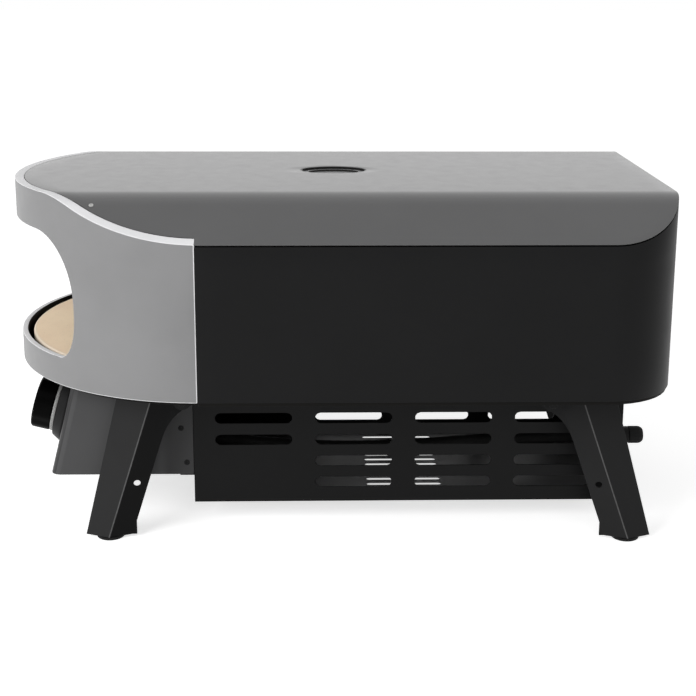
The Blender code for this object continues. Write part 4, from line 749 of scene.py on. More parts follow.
def band_skins(sizes):
    """The band's outer and inner skin on one grid of upright columns.

    A column has its own angle at each radius: inside the mouth it keeps the same distance across,
    as the mouth is cut straight through, and beyond it both skins turn evenly to the seam.
    """
    edge = sizes.band_edge
    wide = sizes.mouth_half + edge
    narrow = sizes.rim_width - sizes.rim_side
    inner_radius = HALF_WIDTH - sizes.band_wall
    rim_radius = HALF_WIDTH - sizes.rim_width
    flat = np.linspace(0, sizes.mouth_half - sizes.upper_corner, MOUTH_COLUMNS)
    inside = columns_of(flat, mouth_columns(sizes, edge), [wide])
    arc = HALF_WIDTH * (RIGHT_ANGLE - math.asin(wide / HALF_WIDTH))
    beyond = np.append(np.linspace(0, 1, SIDE_COLUMNS)[1:-1], [1 - sizes.seam_highlight / arc, 1])
    side = np.concatenate([-beyond[::-1], np.zeros(len(inside)), beyond])
    across = np.concatenate([np.full(len(beyond), -wide), inside, np.full(len(beyond), wide)])
    low, high = mouth_edges(across, sizes, edge)
    spread = np.abs(side) * MOUTH_SPREAD
    low, high = low - spread, high + spread

    def row(radius, height, widening=0.0):
        """One line of the skin, on an oval that is wider by the widening than its reach in front."""
        half = radius + widening
        start = np.arcsin(across / half)
        seam = np.sign(side) * np.arccos((STONE_Y - SEAM_Y) / radius)
        turn = start + (seam - start) * np.abs(side)
        x = half * np.sin(turn)
        return np.stack([x, STONE_Y - radius * np.cos(turn), height(x)], 1)

    def above_mouth(share, drop):
        """Heights at a share of the way from the mouth's edge to a drop below the roof."""
        return lambda x: high + (roof_height(x, sizes) - drop - high) * share

    def below_roof(drop):
        """Heights at a drop below the roof."""
        return lambda x: roof_height(x, sizes) - drop

    outer, inner = [], []
    for share in np.linspace(0, 1, SILL_ROWS):
        level = UNDERSIDE + edge + (low - UNDERSIDE - edge) * share
        outer.append(row(HALF_WIDTH, lambda x: level))
        inner.append(row(inner_radius, lambda x: level))
    gap_row = len(outer) - 1
    for share in np.linspace(0, 1, FACE_ROWS):
        outer.append(row(HALF_WIDTH, above_mouth(share, edge)))
        inner.append(row(inner_radius, above_mouth(share, sizes.rim_depth)))
    turns = np.linspace(0, RIGHT_ANGLE, ROUND_ROWS)[1:]
    steps = np.linspace(0, 1, ROUND_ROWS)[1:]
    for turn in turns:
        radius = HALF_WIDTH - edge * (1 - math.cos(turn))
        outer.append(row(radius, below_roof(edge * (1 - math.sin(turn)))))
    for share in steps:
        radius = HALF_WIDTH - edge + (rim_radius + 2 * edge - HALF_WIDTH) * share
        outer.append(row(radius, below_roof(0), narrow * share))
    for turn in turns:
        radius = rim_radius + edge * (1 - math.sin(turn))
        outer.append(row(radius, below_roof(edge * (1 - math.cos(turn))), narrow))
    for share in steps:
        radius = inner_radius + (rim_radius - inner_radius) * share
        inner.append(row(radius, below_roof(sizes.rim_depth), narrow * share))
    for share in np.linspace(0, 1, FACE_ROWS)[1:]:
        drop = sizes.rim_depth + (edge - sizes.rim_depth) * share
        inner.append(row(rim_radius, below_roof(drop), narrow))
    return np.array(outer), np.array(inner), gap_row, side


def make_band(sizes):
    """The half-round front band: pale rim, painted highlights on mouth edge, seam and lower edge, painted
    shade inside.
    """
    outer, inner, gap_row, side = band_skins(sizes)
    quads = opened_faces(outer.shape, gap_row, (side[:-1] == 0) & (side[1:] == 0))
    shell = closed_shell(outer, inner, quads, sizes.band_edge, steps=4)
    band = mesh_piece("band_shell", *shell, "band_grey", ["front_band"], sharp=40)
    x, y, z = face_vectors(band, "center").T
    normals = face_vectors(band, "normal")
    radius = np.hypot(x, y - STONE_Y)
    outward = (normals[:, 0] * x + normals[:, 1] * (y - STONE_Y)) / radius
    inner_radius = HALF_WIDTH - sizes.band_wall
    rim = z > roof_height(x, sizes) - 0.8 * sizes.band_edge
    # The mouth edge, a line beside the seam and the lower edge get painted highlights in the rim's pale
    # paint
    lip = (np.abs(outward) < STRAIGHT_ON) & (np.abs(x) < sizes.mouth_half + sizes.band_edge)
    lip &= (z > UNDERSIDE + sizes.sill_rise / 2) & (z < ROOF_TOP - 2 * sizes.rim_depth)
    lip &= radius > inner_radius - sizes.band_edge
    seam = (y > SEAM_Y - sizes.seam_highlight - sizes.band_edge / 4) & (outward > TURNED_IN)
    foot = (z < UNDERSIDE + sizes.band_edge) & (outward > A_LITTLE_OUT)
    trim_faces(band, "band_rim_and_painted_highlight", rim | lip | seam | foot)
    # Painted shade: the band's inner skin takes the pan's near-black
    inside = (outward < TURNED_IN) & (radius > inner_radius - sizes.band_edge / 2)
    trim_faces(band, "pan_black", inside)


def make_cover(sizes):
    """The folded roof: columns of one distance across each, from the front arc to the rear edge.

    A gap between two rows leaves the oval hole. Beside it the same rows spread apart.
    """
    edge = sizes.edge
    arc = HALF_WIDTH - sizes.rim_width - sizes.gap - edge
    arc_half = HALF_WIDTH - sizes.rim_side - sizes.gap - edge
    corner = sizes.corner_radius - edge
    start = HALF_WIDTH - sizes.corner_radius
    hole_half, hole_long = sizes.dish_width / 2 + edge, sizes.dish_length / 2 + edge
    front_edge = SEAM_Y + sizes.gap + edge
    arc_end = arc_half * math.sqrt(1 - ((front_edge - STONE_Y) / arc) ** 2)
    across = columns_of(
        eased(0, hole_half, DISH_COLUMNS),
        np.linspace(hole_half, start, FLAT_COLUMNS),
        bend_columns(sizes),
        eased(start, HALF_WIDTH - edge, EDGE_COLUMNS),
        eased(start, arc_end, EDGE_COLUMNS),
        [arc_end + COLUMN_STEP],
        apart=COLUMN_STEP / 2,
    )
    far = np.abs(across)
    sweep = np.sqrt(np.maximum(1 - (across / arc_half) ** 2, 0))
    front = np.where(far <= arc_end + NEAR, STONE_Y - arc * sweep, front_edge)
    front = np.minimum(front, front_edge)
    back = np.sqrt(np.maximum(corner**2 - np.maximum(far - start, 0) ** 2, 0))
    back += REAR_Y - edge - corner
    beside = far >= hole_half - NEAR
    oval = hole_long * np.sqrt(np.maximum(1 - (across / hole_half) ** 2, 0))
    oval = np.where(beside, np.abs(far - hole_half) * ROW_SPREAD_SHARE, oval)
    rows = [front + (-oval - front) * share for share in np.linspace(0, 1, FRONT_ROWS)]
    gap_row = len(rows) - 1
    rows += [oval + (back - oval) * share for share in np.linspace(0, 1, REAR_ROWS)]
    height = roof_height(across, sizes)
    outer = np.stack(np.broadcast_arrays(across, np.array(rows), height), axis=-1)
    tilt = np.arctan(np.gradient(height, across))
    inner = outer + sizes.sheet * np.stack([np.sin(tilt), 0 * tilt, -np.cos(tilt)], axis=-1)
    quads = opened_faces(outer.shape, gap_row, ~(beside[:-1] & beside[1:]))
    shell = closed_shell(outer, inner, quads, edge)
    mesh_piece("roof_cover", *shell, "cover_grey", ["top_cover"], sharp=40)


def oval_ring(inset, height, sizes, count=128):
    """One level of the dish: an ellipse drawn in by the inset."""
    turn = np.linspace(0, TURN, count, endpoint=False)
    across = (sizes.dish_width / 2 - inset) * np.cos(turn)
    along = (sizes.dish_length / 2 - inset) * np.sin(turn)
    return np.stack([across, along, np.full(count, height)], axis=1)


def rounded(profile, radius, steps=4):
    """A profile of points with each inner corner rounded by a short quadratic arc."""
    profile = np.array(profile, dtype=float)
    found = [profile[0]]
    for before, corner, after in zip(profile, profile[1:], profile[2:]):
        back, ahead = before - corner, after - corner
        reach = min(radius, np.linalg.norm(back) / 2, np.linalg.norm(ahead) / 2)
        first, last = corner + unit(back) * reach, corner + unit(ahead) * reach
        for share in np.linspace(0, 1, steps + 1):
            found.append(first * (1 - share) ** 2 + 2 * corner * share * (1 - share) + last * share**2)
    found.append(profile[-1])
    return np.array(found)


def make_dish(sizes):
    """The stepped oval pressing: rings down from its rim over the ledge to the floor, and back under.

    Its steep faces get painted shade in the pan's near-black.
    """
    top = ROOF_TOP - sizes.gap
    ledge = ROOF_TOP - sizes.dish_depth
    floor = ledge - sizes.dish_step
    sheet = sizes.sheet
    well = sizes.dish_ledge + sizes.gap
    profile = [
        (sizes.dish_width / 2, floor),
        (well + sheet, floor),
        (well, ledge),
        (sizes.gap + sheet, ledge),
        (sizes.gap + 0.8 * sheet, top),
        (sizes.gap, top),
        (sizes.gap, top - sheet),
        (sizes.gap, ledge - sheet),
        (well, ledge - sheet),
        (well, floor - sheet),
        (sizes.dish_width / 2, floor - sheet),
    ]
    rings = np.array([oval_ring(inset, height, sizes) for inset, height in rounded(profile, SOFT_EDGE)])
    dish = grid_piece("dish_pressing", [rings], "cover_grey", ["roof_dish"], sharp=50)
    # Painted shade: the dish's steep faces take the pan's near-black
    trim_faces(dish, "pan_black", np.abs(face_vectors(dish, "normal")[:, 2]) < STRAIGHT_ON)


def wall_path(sizes):
    """The walls' plan from the right seam round the back to the left seam, with outward normals."""
    radius = sizes.corner_radius
    start, back = HALF_WIDTH - radius, REAR_Y - radius
    turn = np.linspace(0, RIGHT_ANGLE, CORNER_POINTS)
    round_corner = np.stack([np.cos(turn), np.sin(turn)], axis=1)
    side = np.linspace(SEAM_Y + sizes.gap + sizes.edge, back, PLAN_POINTS)[:-1]
    inner = columns_of(np.linspace(0, start, PLAN_POINTS), bend_columns(sizes))
    inner = inner[np.abs(inner) < start - NEAR]
    right = np.concatenate([
        np.stack([np.full(len(side), HALF_WIDTH), side], axis=1),
        (start, back) + radius * round_corner,
    ])
    rear = np.stack([inner[::-1], np.full(len(inner), REAR_Y)], axis=1)
    face = np.concatenate([np.tile([1.0, 0.0], (len(side), 1)), round_corner])
    normals = np.concatenate([face, np.tile([0.0, 1.0], (len(inner), 1)), face[::-1] * (-1, 1)])
    return np.concatenate([right, rear, right[::-1] * (-1, 1)]), normals


def make_wall(sizes):
    """The black sheet round the sides and back: upright lines from the underside to the roof line."""
    path, normals = wall_path(sizes)
    low = UNDERSIDE + sizes.edge
    high = roof_height(path[:, 0], sizes, sizes.sheet + sizes.gap) - sizes.edge
    levels = [low + (high - low) * share for share in np.linspace(0, 1, WALL_ROWS)]
    outer = np.array([np.column_stack([path, level]) for level in levels])
    inner = outer - sizes.sheet * np.column_stack([normals, np.zeros(len(normals))])
    shell = closed_shell(outer, inner, grid_faces(*outer.shape[:2]), sizes.edge)
    mesh_piece("wall_sheet", *shell, "wall_black", ["body_wrap"], sharp=40)


def lathe(profile, count, wave=None):
    """A profile of (radius, height) turned about +Z. A wave moves each radius by turn and height."""
    profile = np.array(profile, dtype=float)
    turn = np.linspace(0, TURN, count, endpoint=False)
    radius = np.repeat(profile[:, :1], count, axis=1)
    height = np.repeat(profile[:, 1:], count, axis=1)
    if wave is not None:
        radius = radius + wave(turn[None, :], height, radius)
    return np.stack([radius * np.cos(turn), radius * np.sin(turn), height], axis=-1)


def turned(points, base, axis):
    """A grid that was made about +Z, set on a base and turned to an axis."""
    turn = np.array(Vector(axis).to_track_quat("Z", "Y").to_matrix())
    return points @ turn.T + np.array(base)


def lathe_piece(name, profile, base, axis, finish, node, count=96, wave=None, sharp=40.0):
    """A turned piece, closed where its profile starts and ends on the axis or meets itself."""
    grid = turned(lathe(profile, count, wave), base, axis)
    return grid_piece(name, [grid], finish, [node], sharp=sharp)


def seat_of(box, axis):
    """Where a turned piece begins and how long it is.

    It begins in the middle of its node's box, but at the box's low end along the axis.
    """
    low, high = (np.array(corner) for corner in box)
    base = (low + high) / 2
    base[axis] = low[axis]
    return base, float(high[axis] - low[axis])


def pillow(centre, halves, power, count=24):
    """A superellipsoid: a box whose corners are rounder the closer the power is to one."""
    down = np.linspace(-RIGHT_ANGLE, RIGHT_ANGLE, count)[:, None]
    turn = np.linspace(0, TURN, 2 * count, endpoint=False)[None, :]

    def soft(value):
        return np.sign(value) * np.abs(value) ** power

    x = halves[0] * soft(np.cos(down)) * soft(np.cos(turn))
    y = halves[1] * soft(np.cos(down)) * soft(np.sin(turn))
    z = halves[2] * soft(np.sin(down)) + 0 * turn
    return np.stack([x, y, z], axis=-1) + np.array(centre)


def make_stone():
    """The baking stone: a thick disc with broken, slightly rounded edges."""
    thick = STONE_HIGH[2] - STONE_LOW[2]
    flat = STONE_RADIUS - STONE_BEVEL
    profile = [
        (0, thick),
        (flat, thick),
        (STONE_RADIUS, thick - STONE_BEVEL),
        (STONE_RADIUS, STONE_BEVEL),
        (flat, 0),
        (0, 0),
    ]
    base = (0, STONE_Y, STONE_LOW[2])
    smooth = rounded(profile, STONE_EDGE)
    lathe_piece("baking_stone", smooth, base, UP, "cordierite", "cooking_stone", count=FINE_TURN)


def make_collar(sizes, gap):
    """The cone-shaped collar: up its outside, over its face, down inside to the foot, and under."""
    bore = sizes.knob_radius + sizes.collar_gap
    hole = sizes.stem_radius + sizes.standoff
    foot = gap + sizes.collar_foot
    profile = [
        (hole, gap),
        (sizes.collar_radius, gap),
        (sizes.collar_radius, foot),
        (sizes.collar_face, sizes.collar_height),
        (bore, sizes.collar_height),
        (bore, foot),
        (hole, foot),
        (hole, gap),
    ]
    smooth = rounded(profile, COLLAR_EDGE)
    lathe_piece("knob_collar", smooth, KNOB_BASE, PANEL_AXIS, "collar_plastic", "knob_bezel")


def make_ring(sizes):
    """The knurled ring: its radius falls by a product of two cosines that run round and along it.

    Its grooves get painted shade in the collar's dark plastic.
    """
    outside = sizes.knob_radius
    bottom = sizes.collar_height + sizes.standoff
    top = bottom + sizes.ring_thickness
    low, high = bottom + RING_EDGE, top - RING_EDGE
    hole = sizes.stem_radius + sizes.standoff
    flat = outside - RING_EDGE
    rows = [(outside, height) for height in np.linspace(low, high, RING_ROWS)]
    profile = [(hole, bottom), (flat, bottom), *rows, (flat, top), (hole, top), (hole, bottom)]
    pitch = TURN * outside / sizes.knurls

    def knurl(turn, height, radius):
        """Deepest between the diamonds, and nothing on the flat sides."""
        round_about = np.cos(sizes.knurls * turn)
        along = np.cos(TURN * (height - bottom) / pitch)
        return -sizes.knurl_depth * (0.5 + 0.5 * round_about * along) * (radius > outside - RING_EDGE / 2)

    ring = lathe_piece(
        "knurled_ring",
        profile,
        KNOB_BASE,
        PANEL_AXIS,
        "knurled_alloy",
        "knob_ring",
        count=POINTS_PER_KNURL * sizes.knurls,
        wave=knurl,
        sharp=70,
    )
    offset = face_vectors(ring, "center") - KNOB_BASE
    height = offset @ PANEL_AXIS
    far = np.linalg.norm(offset - height[:, None] * PANEL_AXIS, axis=1)
    # Painted shade in the knurl's grooves, between two depths
    shallow, deep = (outside - share * sizes.knurl_depth for share in GROOVE_SHADE_SHARES)
    trim_faces(ring, "collar_plastic", (far < shallow) & (far > deep) & (height > low) & (height < high))


def make_knob(sizes, gap):
    """The knob: turned, with hollows between its grips, a shallow dish in its face and a pointer."""
    bottom = sizes.collar_height + sizes.standoff + sizes.ring_thickness + gap
    top = bottom + sizes.knob_length
    radius = sizes.knob_radius
    hole = sizes.stem_radius + sizes.standoff / 2
    socket = bottom + sizes.knob_length / 3
    dish, lip, rim, foot = (share * radius for share in KNOB_FACE_SHARES)
    turned_over, high, low = (share * radius for share in KNOB_SIDE_SHARES)
    profile = [
        (0, top - KNOB_DISH),
        (dish, top - KNOB_DISH),
        (lip, top),
        (rim, top),
        (radius, top - turned_over),
        *[(radius, height) for height in np.linspace(top - high, bottom + low, GRIP_ROWS)],
        (foot, bottom),
        (hole, bottom),
        (hole, socket),
        (0, socket),
    ]

    def grips(turn, height, far):
        """A hollow between each two grips, fading into the face."""
        hollow = (0.5 - 0.5 * np.cos(sizes.grips * turn)) ** 2
        return -sizes.knob_grip * hollow * np.clip(far / radius, 0, 1) ** 12

    smooth = rounded(profile, KNOB_EDGE)
    lathe_piece(
        "gas_knob", smooth, KNOB_BASE, PANEL_AXIS, "plastic_black", "knob", count=FINE_TURN, wave=grips
    )
    half_mark = sizes.mark_length / 2
    centre = (0, MARK_END_SHARE * radius - half_mark, top)
    bar = pillow(centre, (sizes.mark_width / 2, half_mark, MARK_HALF_HEIGHT), 0.35)
    grid_piece("knob_pointer", [turned(bar, KNOB_BASE, PANEL_AXIS)], "mark_white", body="gas_knob")


def make_inlet(sizes, gap):
    """The gas inlet: a hexagonal nut outside the rear panel, its thread, and the cap's spigot."""
    base, end = seat_of(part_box("gas_inlet"), 1)
    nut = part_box("rear_panel")[1][1] + gap - base[1]
    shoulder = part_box("inlet_cap")[0][1] - base[1] - gap
    profile = [
        (0, end),
        (sizes.spigot_radius, end),
        (sizes.spigot_radius, shoulder),
        (sizes.pipe_radius, shoulder),
        (sizes.pipe_radius, nut + sizes.nut_length),
        (sizes.nut_radius, nut + sizes.nut_length),
        (sizes.nut_radius, nut),
        (sizes.pipe_radius, nut),
        (sizes.pipe_radius, 0),
        (0, 0),
    ]

    def flats(turn, height, radius):
        """Six flats cut into the nut."""
        sixth = TURN / 6
        inner = sizes.nut_radius * math.cos(sixth / 2)
        hexagon = inner / np.cos((turn + 0 * height) % sixth - sixth / 2)
        return np.where(radius > sizes.pipe_radius * 1.01, np.minimum(radius, hexagon) - radius, 0)

    smooth = rounded(profile, SOFT_EDGE)
    lathe_piece("inlet_fitting", smooth, base, NORTH, "housing_black", "gas_inlet", wave=flats, sharp=30)


def make_cap(sizes, gap):
    """The ribbed cap on the inlet: a bore for the spigot, an upright wall and a nose that rounds over."""
    seat, _ = seat_of(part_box("gas_inlet"), 1)
    seat[1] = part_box("inlet_cap")[0][1]
    radius = sizes.cap_radius
    bore = sizes.cap_length / 2 + gap
    hole = sizes.spigot_radius + gap
    profile = [(0, bore), (hole, bore), (hole, 0), (radius - CAP_EDGE, 0), (radius, CAP_EDGE)]
    for share, rise in CAP_NOSE_SHARES:
        profile.append((radius * share, sizes.cap_length + rise * sizes.cap_nose))

    def ribs(turn, height, far):
        """Grooves between the cap's ribs, which fade in its nose."""
        groove = (0.5 - 0.5 * np.cos(sizes.ribs * turn)) ** 2
        outside = np.clip((far / radius - RIB_START_SHARE) / RIB_FADE_SHARE, 0, 1)
        return -sizes.cap_rib * groove * outside

    smooth = rounded(profile, SOFT_EDGE)
    lathe_piece(
        "ribbed_cap", smooth, seat, NORTH, "rubber_black", "inlet_cap", count=FINE_TURN, wave=ribs
    )


def tube(path, radius, count=20):
    """A round tube along a path: at each point a ring square to it, whose side stays level."""
    along = unit(np.gradient(path, axis=0))
    side = unit(np.cross(along, UP))
    up = np.cross(side, along)
    turn = np.linspace(0, TURN, count, endpoint=False)[None, :, None]
    return path[:, None] + radius * (side[:, None] * np.cos(turn) + up[:, None] * np.sin(turn))


def make_hose(sizes, gap):
    """The feed hose: one cubic curve from the inlet, straight forward, to the valve's tail."""
    inlet, _ = seat_of(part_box("gas_inlet"), 1)
    start = inlet - (0, gap, 0)
    end = KNOB_BASE - PANEL_AXIS * sizes.valve_depth
    pulls = [start, start - (0, sizes.hose_rear_pull, 0), end - PANEL_AXIS * sizes.hose_front_pull, end]
    share = np.linspace(0, 1, HOSE_POINTS)[:, None]
    weights = [(1 - share) ** 3, 3 * share * (1 - share) ** 2, 3 * share**2 * (1 - share), share**3]
    path = sum(weight * pull for weight, pull in zip(weights, pulls))
    grid_piece("gas_hose", [tube(path, sizes.hose_radius)], "rubber_black", ["feed_hose"])


def make_feet(sizes):
    """Four rubber feet, each a disc with a rounded rim and the plug that holds it in its leg."""
    for corner in CORNERS:
        node = f"foot_pad_{corner}"
        base, whole = seat_of(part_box(node), 2)
        profile = [
            (0, whole),
            (sizes.foot_plug, whole),
            (sizes.foot_plug, sizes.foot_height),
            (sizes.foot_radius, sizes.foot_height),
            (sizes.foot_radius, FOOT_EDGE),
            (sizes.foot_radius - FOOT_EDGE, 0),
            (0, 0),
        ]
        smooth = rounded(profile, SOFT_EDGE)
        lathe_piece(f"rubber_foot_{corner}", smooth, base, UP, "rubber_black", node)


def make_pins(sizes):
    """Four headed pins, one through each bracket."""
    for corner in CORNERS:
        node = f"hinge_pin_{corner}"
        base, whole = seat_of(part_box(node), 0)
        head = sizes.pin_head_length
        profile = [
            (0, 0),
            (sizes.pin_head, 0),
            (sizes.pin_head, head),
            (sizes.pin_radius, head),
            (sizes.pin_radius, whole - head),
            (sizes.pin_head, whole - head),
            (sizes.pin_head, whole),
            (0, whole),
        ]
        smooth = rounded(profile, PIN_EDGE)
        lathe_piece(f"pivot_pin_{corner}", smooth, base, EAST, "leg_black", node, count=PIN_TURN)


def screw_head(sizes, shares, base, axis, count=48):
    """A domed head with a cross in it: the cross is cut where the point lies near either centre line.

    The shares are the head's radius and height as shares of a full screw's.
    """
    radius, height = sizes.screw_radius * shares[0], sizes.screw_height * shares[1]
    fall, least = SCREW_DOME_SHARES
    arm, reach, cut = SCREW_CROSS_SHARES
    far = SCREW_RING_SHARES * radius
    rise = height * np.sqrt(np.maximum(1 - (far / radius) ** 2 * fall, least))
    rise[-1] = 0
    grid = lathe(np.stack([far, rise], axis=1), count)
    x, y = grid[..., 0], grid[..., 1]
    cross = (np.minimum(np.abs(x), np.abs(y)) < arm * radius) & (np.hypot(x, y) < reach * radius)
    grid[..., 2] -= cross * cut * height
    foot = lathe([(radius, 0), (radius * SCREW_FOOT_SHARE, -SCREW_SINK), (0, -SCREW_SINK)], count)
    return turned(np.concatenate([grid, foot[1:]]), base, axis)


def make_screws(sizes, shell):
    """Cross-headed screws: two in the roof by the rim, four in the control box's sides, four behind."""
    fall, _ = roof_bend(shell)
    across, along = ROOF_SCREW
    top = float(roof_height(np.array(across), shell))
    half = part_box("control_box")[1][0]
    low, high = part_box("rear_panel")
    bright, box, rear = [], [], []
    for side in (1, -1):
        slope = (side * math.sin(fall), 0, math.cos(fall))
        bright.append(screw_head(sizes, ROOF_HEAD_SHARES, (side * across, along, top), slope))
        for y, z in BOX_SCREWS:
            box.append(screw_head(sizes, BOX_HEAD_SHARES, (side * half, y, z), (side, 0, 0)))
        for z in (high[2] - REAR_SCREW_DROP, low[2] + REAR_SCREW_RISE):
            place = (side * (high[0] - REAR_SCREW_INSET), high[1], z)
            rear.append(screw_head(sizes, REAR_HEAD_SHARES, place, NORTH))
    grid_piece("roof_screws", bright, "plated_steel")
    grid_piece("panel_screws", box + rear, "leg_black")


# Finishes that differ from the record's slot of the node
LOOKS = {"gas_inlet": "housing_black", "base_plate": "plate_grey"}


def softened(node, width, finish=None, segments=2, sharp=32.0):
    """A copy of a CAD piece, merged, with its flat faces made whole and its edges rounded."""
    mesh = frame["nodes"][node].data.copy()
    bm = bmesh.new()
    bm.from_mesh(mesh)
    bmesh.ops.remove_doubles(bm, verts=bm.verts, dist=CAD_WELD)
    bmesh.ops.dissolve_limit(bm, angle_limit=ONE_FACE, verts=bm.verts, edges=bm.edges)
    bm.to_mesh(mesh)
    bm.free()
    look = finish or LOOKS.get(node, SLOT_OF[node])
    piece = ridden(mesh, f"{node}_finished", look, [node], sharp)
    bevel = piece.modifiers.new("Edges", "BEVEL")
    bevel.width = width
    bevel.segments = segments
    bevel.limit_method = "ANGLE"
    bevel.angle_limit = math.radians(sharp)
    bevel.harden_normals = True
    return piece


def make_control_box():
    """The control box. The rounded corners between its sides and its front get painted shade in a darker
    grey.
    """
    box = softened("control_box", CAST_EDGE, segments=3)
    east, north, _ = face_vectors(box, "normal").T
    low, high = ROUND_CORNER
    corner = (np.abs(east) > low) & (np.abs(east) < high) & (north < A_LITTLE_FORWARD)
    trim_faces(box, "control_corner_painted_shade", corner)


def dress_nodes():
    """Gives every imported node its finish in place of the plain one."""
    for node, slot in SLOT_OF.items():
        found = frame["nodes"][node]
        found.data.materials.clear()
        found.data.materials.append(FINISHES[LOOKS.get(node, slot)])


def make_camera():
    """The camera at the photograph's angle, with a little of its shifted picture centre."""
    camera = bpy.data.objects.new("camera", bpy.data.cameras.new("camera"))
    bpy.context.scene.collection.objects.link(camera)
    camera.location = (1.4769, -0.0214, 0.6142)
    camera.rotation_euler = (math.radians(76.868), math.radians(-0.221), math.radians(88.568))
    camera.data.lens = 68.62
    camera.data.sensor_width = 36
    camera.data.shift_y = -0.12
    camera.data.clip_end = 100
    bpy.context.scene.camera = camera


def make_world():
    """A studio bright round the horizon, dimmer overhead and to the east. Camera and gloss see white."""
    world = bpy.data.worlds.new("studio")
    bpy.context.scene.world = world
    nodes = Nodes(world)
    background = nodes.tree.nodes["Background"]
    seen = nodes.plainly_seen()
    direction = nodes.node("ShaderNodeTexCoord", output="Generated")
    split = nodes.node("ShaderNodeSeparateXYZ", None, {0: direction}).socket.node.outputs
    east, up = Socket(nodes, split["X"]), Socket(nodes, split["Z"])
    light = (0.80 - up.rise(0.0, 0.8) * 0.30) * (1 - east.rise(-0.2, 0.8) * 0.35)
    nodes.feed(background.inputs["Strength"], seen + (1 - seen) * light)
    nodes.feed(background.inputs["Color"], (1.0, 1.0, 1.0, 1.0))


def make_floor():
    """A wide pale floor that stays white for the camera but keeps the oven's shadow."""
    corners = [(x * FLOOR_HALF, y * FLOOR_HALF, 0) for x, y in ((-1, -1), (1, -1), (1, 1), (-1, 1))]
    mesh = bpy.data.meshes.new("floor")
    mesh.from_pydata(corners, [], [(0, 1, 2, 3)])
    floor = bpy.data.objects.new("floor", mesh)
    bpy.context.scene.collection.objects.link(floor)
    material = bpy.data.materials.new("floor")
    nodes = Nodes(material)
    nodes.tree.nodes.remove(nodes.tree.nodes["Principled BSDF"])
    paper = nodes.node("ShaderNodeBsdfDiffuse", None, {"Color": (0.80, 0.80, 0.80, 1)})
    white = {"Color": (1.0, 1.0, 1.0, 1), "Strength": nodes.plainly_seen() * FLOOR_GLOW_SHARE}
    glow = nodes.node("ShaderNodeEmission", None, white)
    both = nodes.node("ShaderNodeAddShader", None, {0: paper, 1: glow})
    nodes.feed(nodes.tree.nodes["Material Output"].inputs["Surface"], both)
    mesh.materials.append(material)


def make_lamps():
    """Large soft lamps, not seen in gloss: a key before the mouth and a weak fill behind the camera."""
    places = (
        ("key", (2.05, -2.25, 1.40), 2.2, 88.0),
        ("fill", (3.0, 0.6, 1.6), 2.6, 20.0),
    )
    for name, place, size, power in places:
        lamp = bpy.data.lights.new(name, "AREA")
        lamp.shape = "DISK"
        lamp.size = size
        lamp.energy = power
        made = bpy.data.objects.new(name, lamp)
        made.location = place
        made.visible_glossy = False
        toward = Vector((0, 0, 0.25)) - Vector(place)
        made.rotation_euler = toward.to_track_quat("-Z", "Y").to_euler()
        bpy.context.scene.collection.objects.link(made)


class OVEN_OT_stage(Operator):
    """Camera, pale floor, world and lamps"""

    bl_idname = "oven.stage"
    bl_label = "Stage"

    def execute(self, context):
        context.scene.view_settings.view_transform = "Standard"
        make_camera()
        make_world()
        make_floor()
        make_lamps()
        return {"FINISHED"}


class OVEN_OT_finishes(Operator):
    """Every finish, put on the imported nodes"""

    bl_idname = "oven.finishes"
    bl_label = "Finishes"

    def execute(self, context):
        make_finishes(context.scene.oven_colours)
        dress_nodes()
        return {"FINISHED"}


class OVEN_OT_band(Operator):
    """Front band with its rim and mouth"""

    bl_idname = "oven.band"
    bl_label = "Front Band"

    def execute(self, context):
        make_band(context.scene.oven_shell)
        return {"FINISHED"}


class OVEN_OT_roof(Operator):
    """Roof cover and the oval dish in it"""

    bl_idname = "oven.roof"
    bl_label = "Roof"

    def execute(self, context):
        make_cover(context.scene.oven_shell)
        make_dish(context.scene.oven_shell)
        return {"FINISHED"}


class OVEN_OT_wall(Operator):
    """Black sheet round the sides and the back, and the floor pan under it"""

    bl_idname = "oven.wall"
    bl_label = "Wall"

    def execute(self, context):
        make_wall(context.scene.oven_shell)
        softened("floor_pan", PRESSED_EDGE)
        return {"FINISHED"}


class OVEN_OT_chamber(Operator):
    """Cooking chamber: its liner, stone, turntable, burner, guard and igniter"""

    bl_idname = "oven.chamber"
    bl_label = "Chamber"

    def execute(self, context):
        make_stone()
        for node in ("chamber_liner", "turntable", "turntable_shaft", "shaft_bearing", "flame_guard"):
            softened(node, SHEET_EDGE)
        for node in ("burner_tube", "igniter_electrode", "burner_pipe"):
            softened(node, ROD_EDGE, sharp=50.0)
        return {"FINISHED"}


class OVEN_OT_housing(Operator):
    """Vented housing under the floor, with the motor, the battery box and the valve in it"""

    bl_idname = "oven.housing"
    bl_label = "Housing"

    def execute(self, context):
        for node in ("side_panel_right", "side_panel_left", "rear_panel", "front_plate", "base_plate"):
            softened(node, SHEET_EDGE)
        for node in ("drive_motor", "battery_box", "battery_lid", "gas_valve", "valve_stem"):
            softened(node, CAST_EDGE)
        return {"FINISHED"}


class OVEN_OT_controls(Operator):
    """Control box with its collar, knurled ring, knob and rocker switch"""

    bl_idname = "oven.controls"
    bl_label = "Controls"

    def execute(self, context):
        sizes, gap = context.scene.oven_fittings, context.scene.oven_shell.gap
        make_control_box()
        make_collar(sizes, gap)
        make_ring(sizes)
        make_knob(sizes, gap)
        softened("switch_case", PRESSED_EDGE, "collar_plastic", segments=3)
        softened("motor_switch", CAST_EDGE, "collar_plastic", segments=3)
        return {"FINISHED"}


class OVEN_OT_gas_line(Operator):
    """Gas inlet with its cap, and the hose to the valve"""

    bl_idname = "oven.gas_line"
    bl_label = "Gas Line"

    def execute(self, context):
        sizes, gap = context.scene.oven_fittings, context.scene.oven_shell.gap
        make_inlet(sizes, gap)
        make_cap(sizes, gap)
        make_hose(sizes, gap)
        return {"FINISHED"}


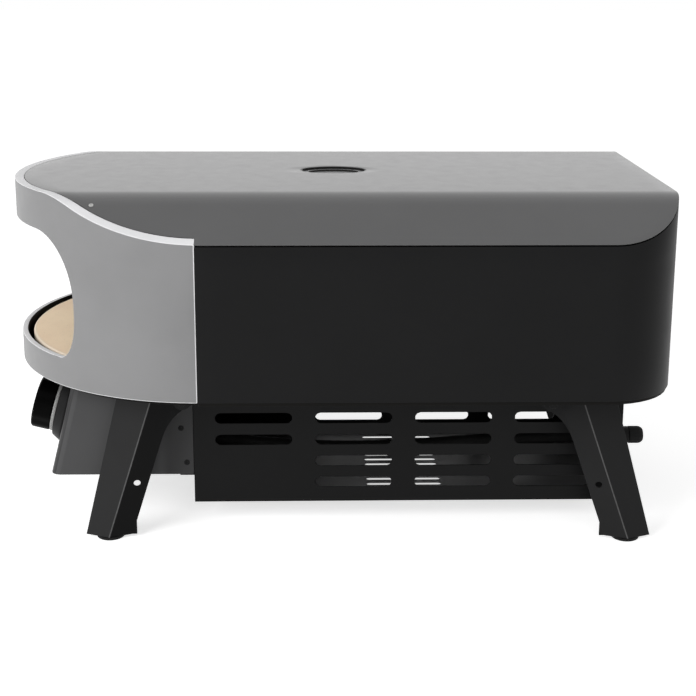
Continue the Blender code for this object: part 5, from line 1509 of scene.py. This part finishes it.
class OVEN_OT_legs(Operator):
    """Folded legs with their brackets, pins and rubber feet"""

    bl_idname = "oven.legs"
    bl_label = "Legs"

    def execute(self, context):
        for corner in CORNERS:
            paint = f"{corner.split('_')[0]}_leg_paint"
            softened(f"leg_{corner}", CAST_EDGE, paint, segments=3, sharp=28.0)
            softened(f"leg_bracket_{corner}", BRACKET_EDGE)
        make_feet(context.scene.oven_fittings)
        make_pins(context.scene.oven_fittings)
        return {"FINISHED"}


class OVEN_OT_screws(Operator):
    """Screws of the roof, the control box and the rear panel"""

    bl_idname = "oven.screws"
    bl_label = "Screws"

    def execute(self, context):
        make_screws(context.scene.oven_fittings, context.scene.oven_shell)
        return {"FINISHED"}


class OVEN_PT_parts(Panel):
    """The oven's pieces, in the order they are made"""

    bl_idname = "OVEN_PT_parts"
    bl_label = "Pizza Oven"
    bl_space_type = "VIEW_3D"
    bl_region_type = "UI"
    bl_category = "Oven"

    def draw(self, context):
        for operator in OPERATORS:
            self.layout.operator(operator.bl_idname)


OPERATORS = (
    OVEN_OT_stage,
    OVEN_OT_finishes,
    OVEN_OT_band,
    OVEN_OT_roof,
    OVEN_OT_wall,
    OVEN_OT_chamber,
    OVEN_OT_housing,
    OVEN_OT_controls,
    OVEN_OT_gas_line,
    OVEN_OT_legs,
    OVEN_OT_screws,
)
CLASSES = (ShellSizes, FittingSizes, Colours, *OPERATORS, OVEN_PT_parts)


def register():
    for found in CLASSES:
        bpy.utils.register_class(found)
    bpy.types.Scene.oven_shell = PointerProperty(type=ShellSizes)
    bpy.types.Scene.oven_fittings = PointerProperty(type=FittingSizes)
    bpy.types.Scene.oven_colours = PointerProperty(type=Colours)


def unregister():
    del bpy.types.Scene.oven_colours
    del bpy.types.Scene.oven_fittings
    del bpy.types.Scene.oven_shell
    for found in reversed(CLASSES):
        bpy.utils.unregister_class(found)


def main():
    register()
    for operator in OPERATORS:
        group, name = operator.bl_idname.split(".")
        getattr(getattr(bpy.ops, group), name)()


if __name__ == "__main__":
    main()
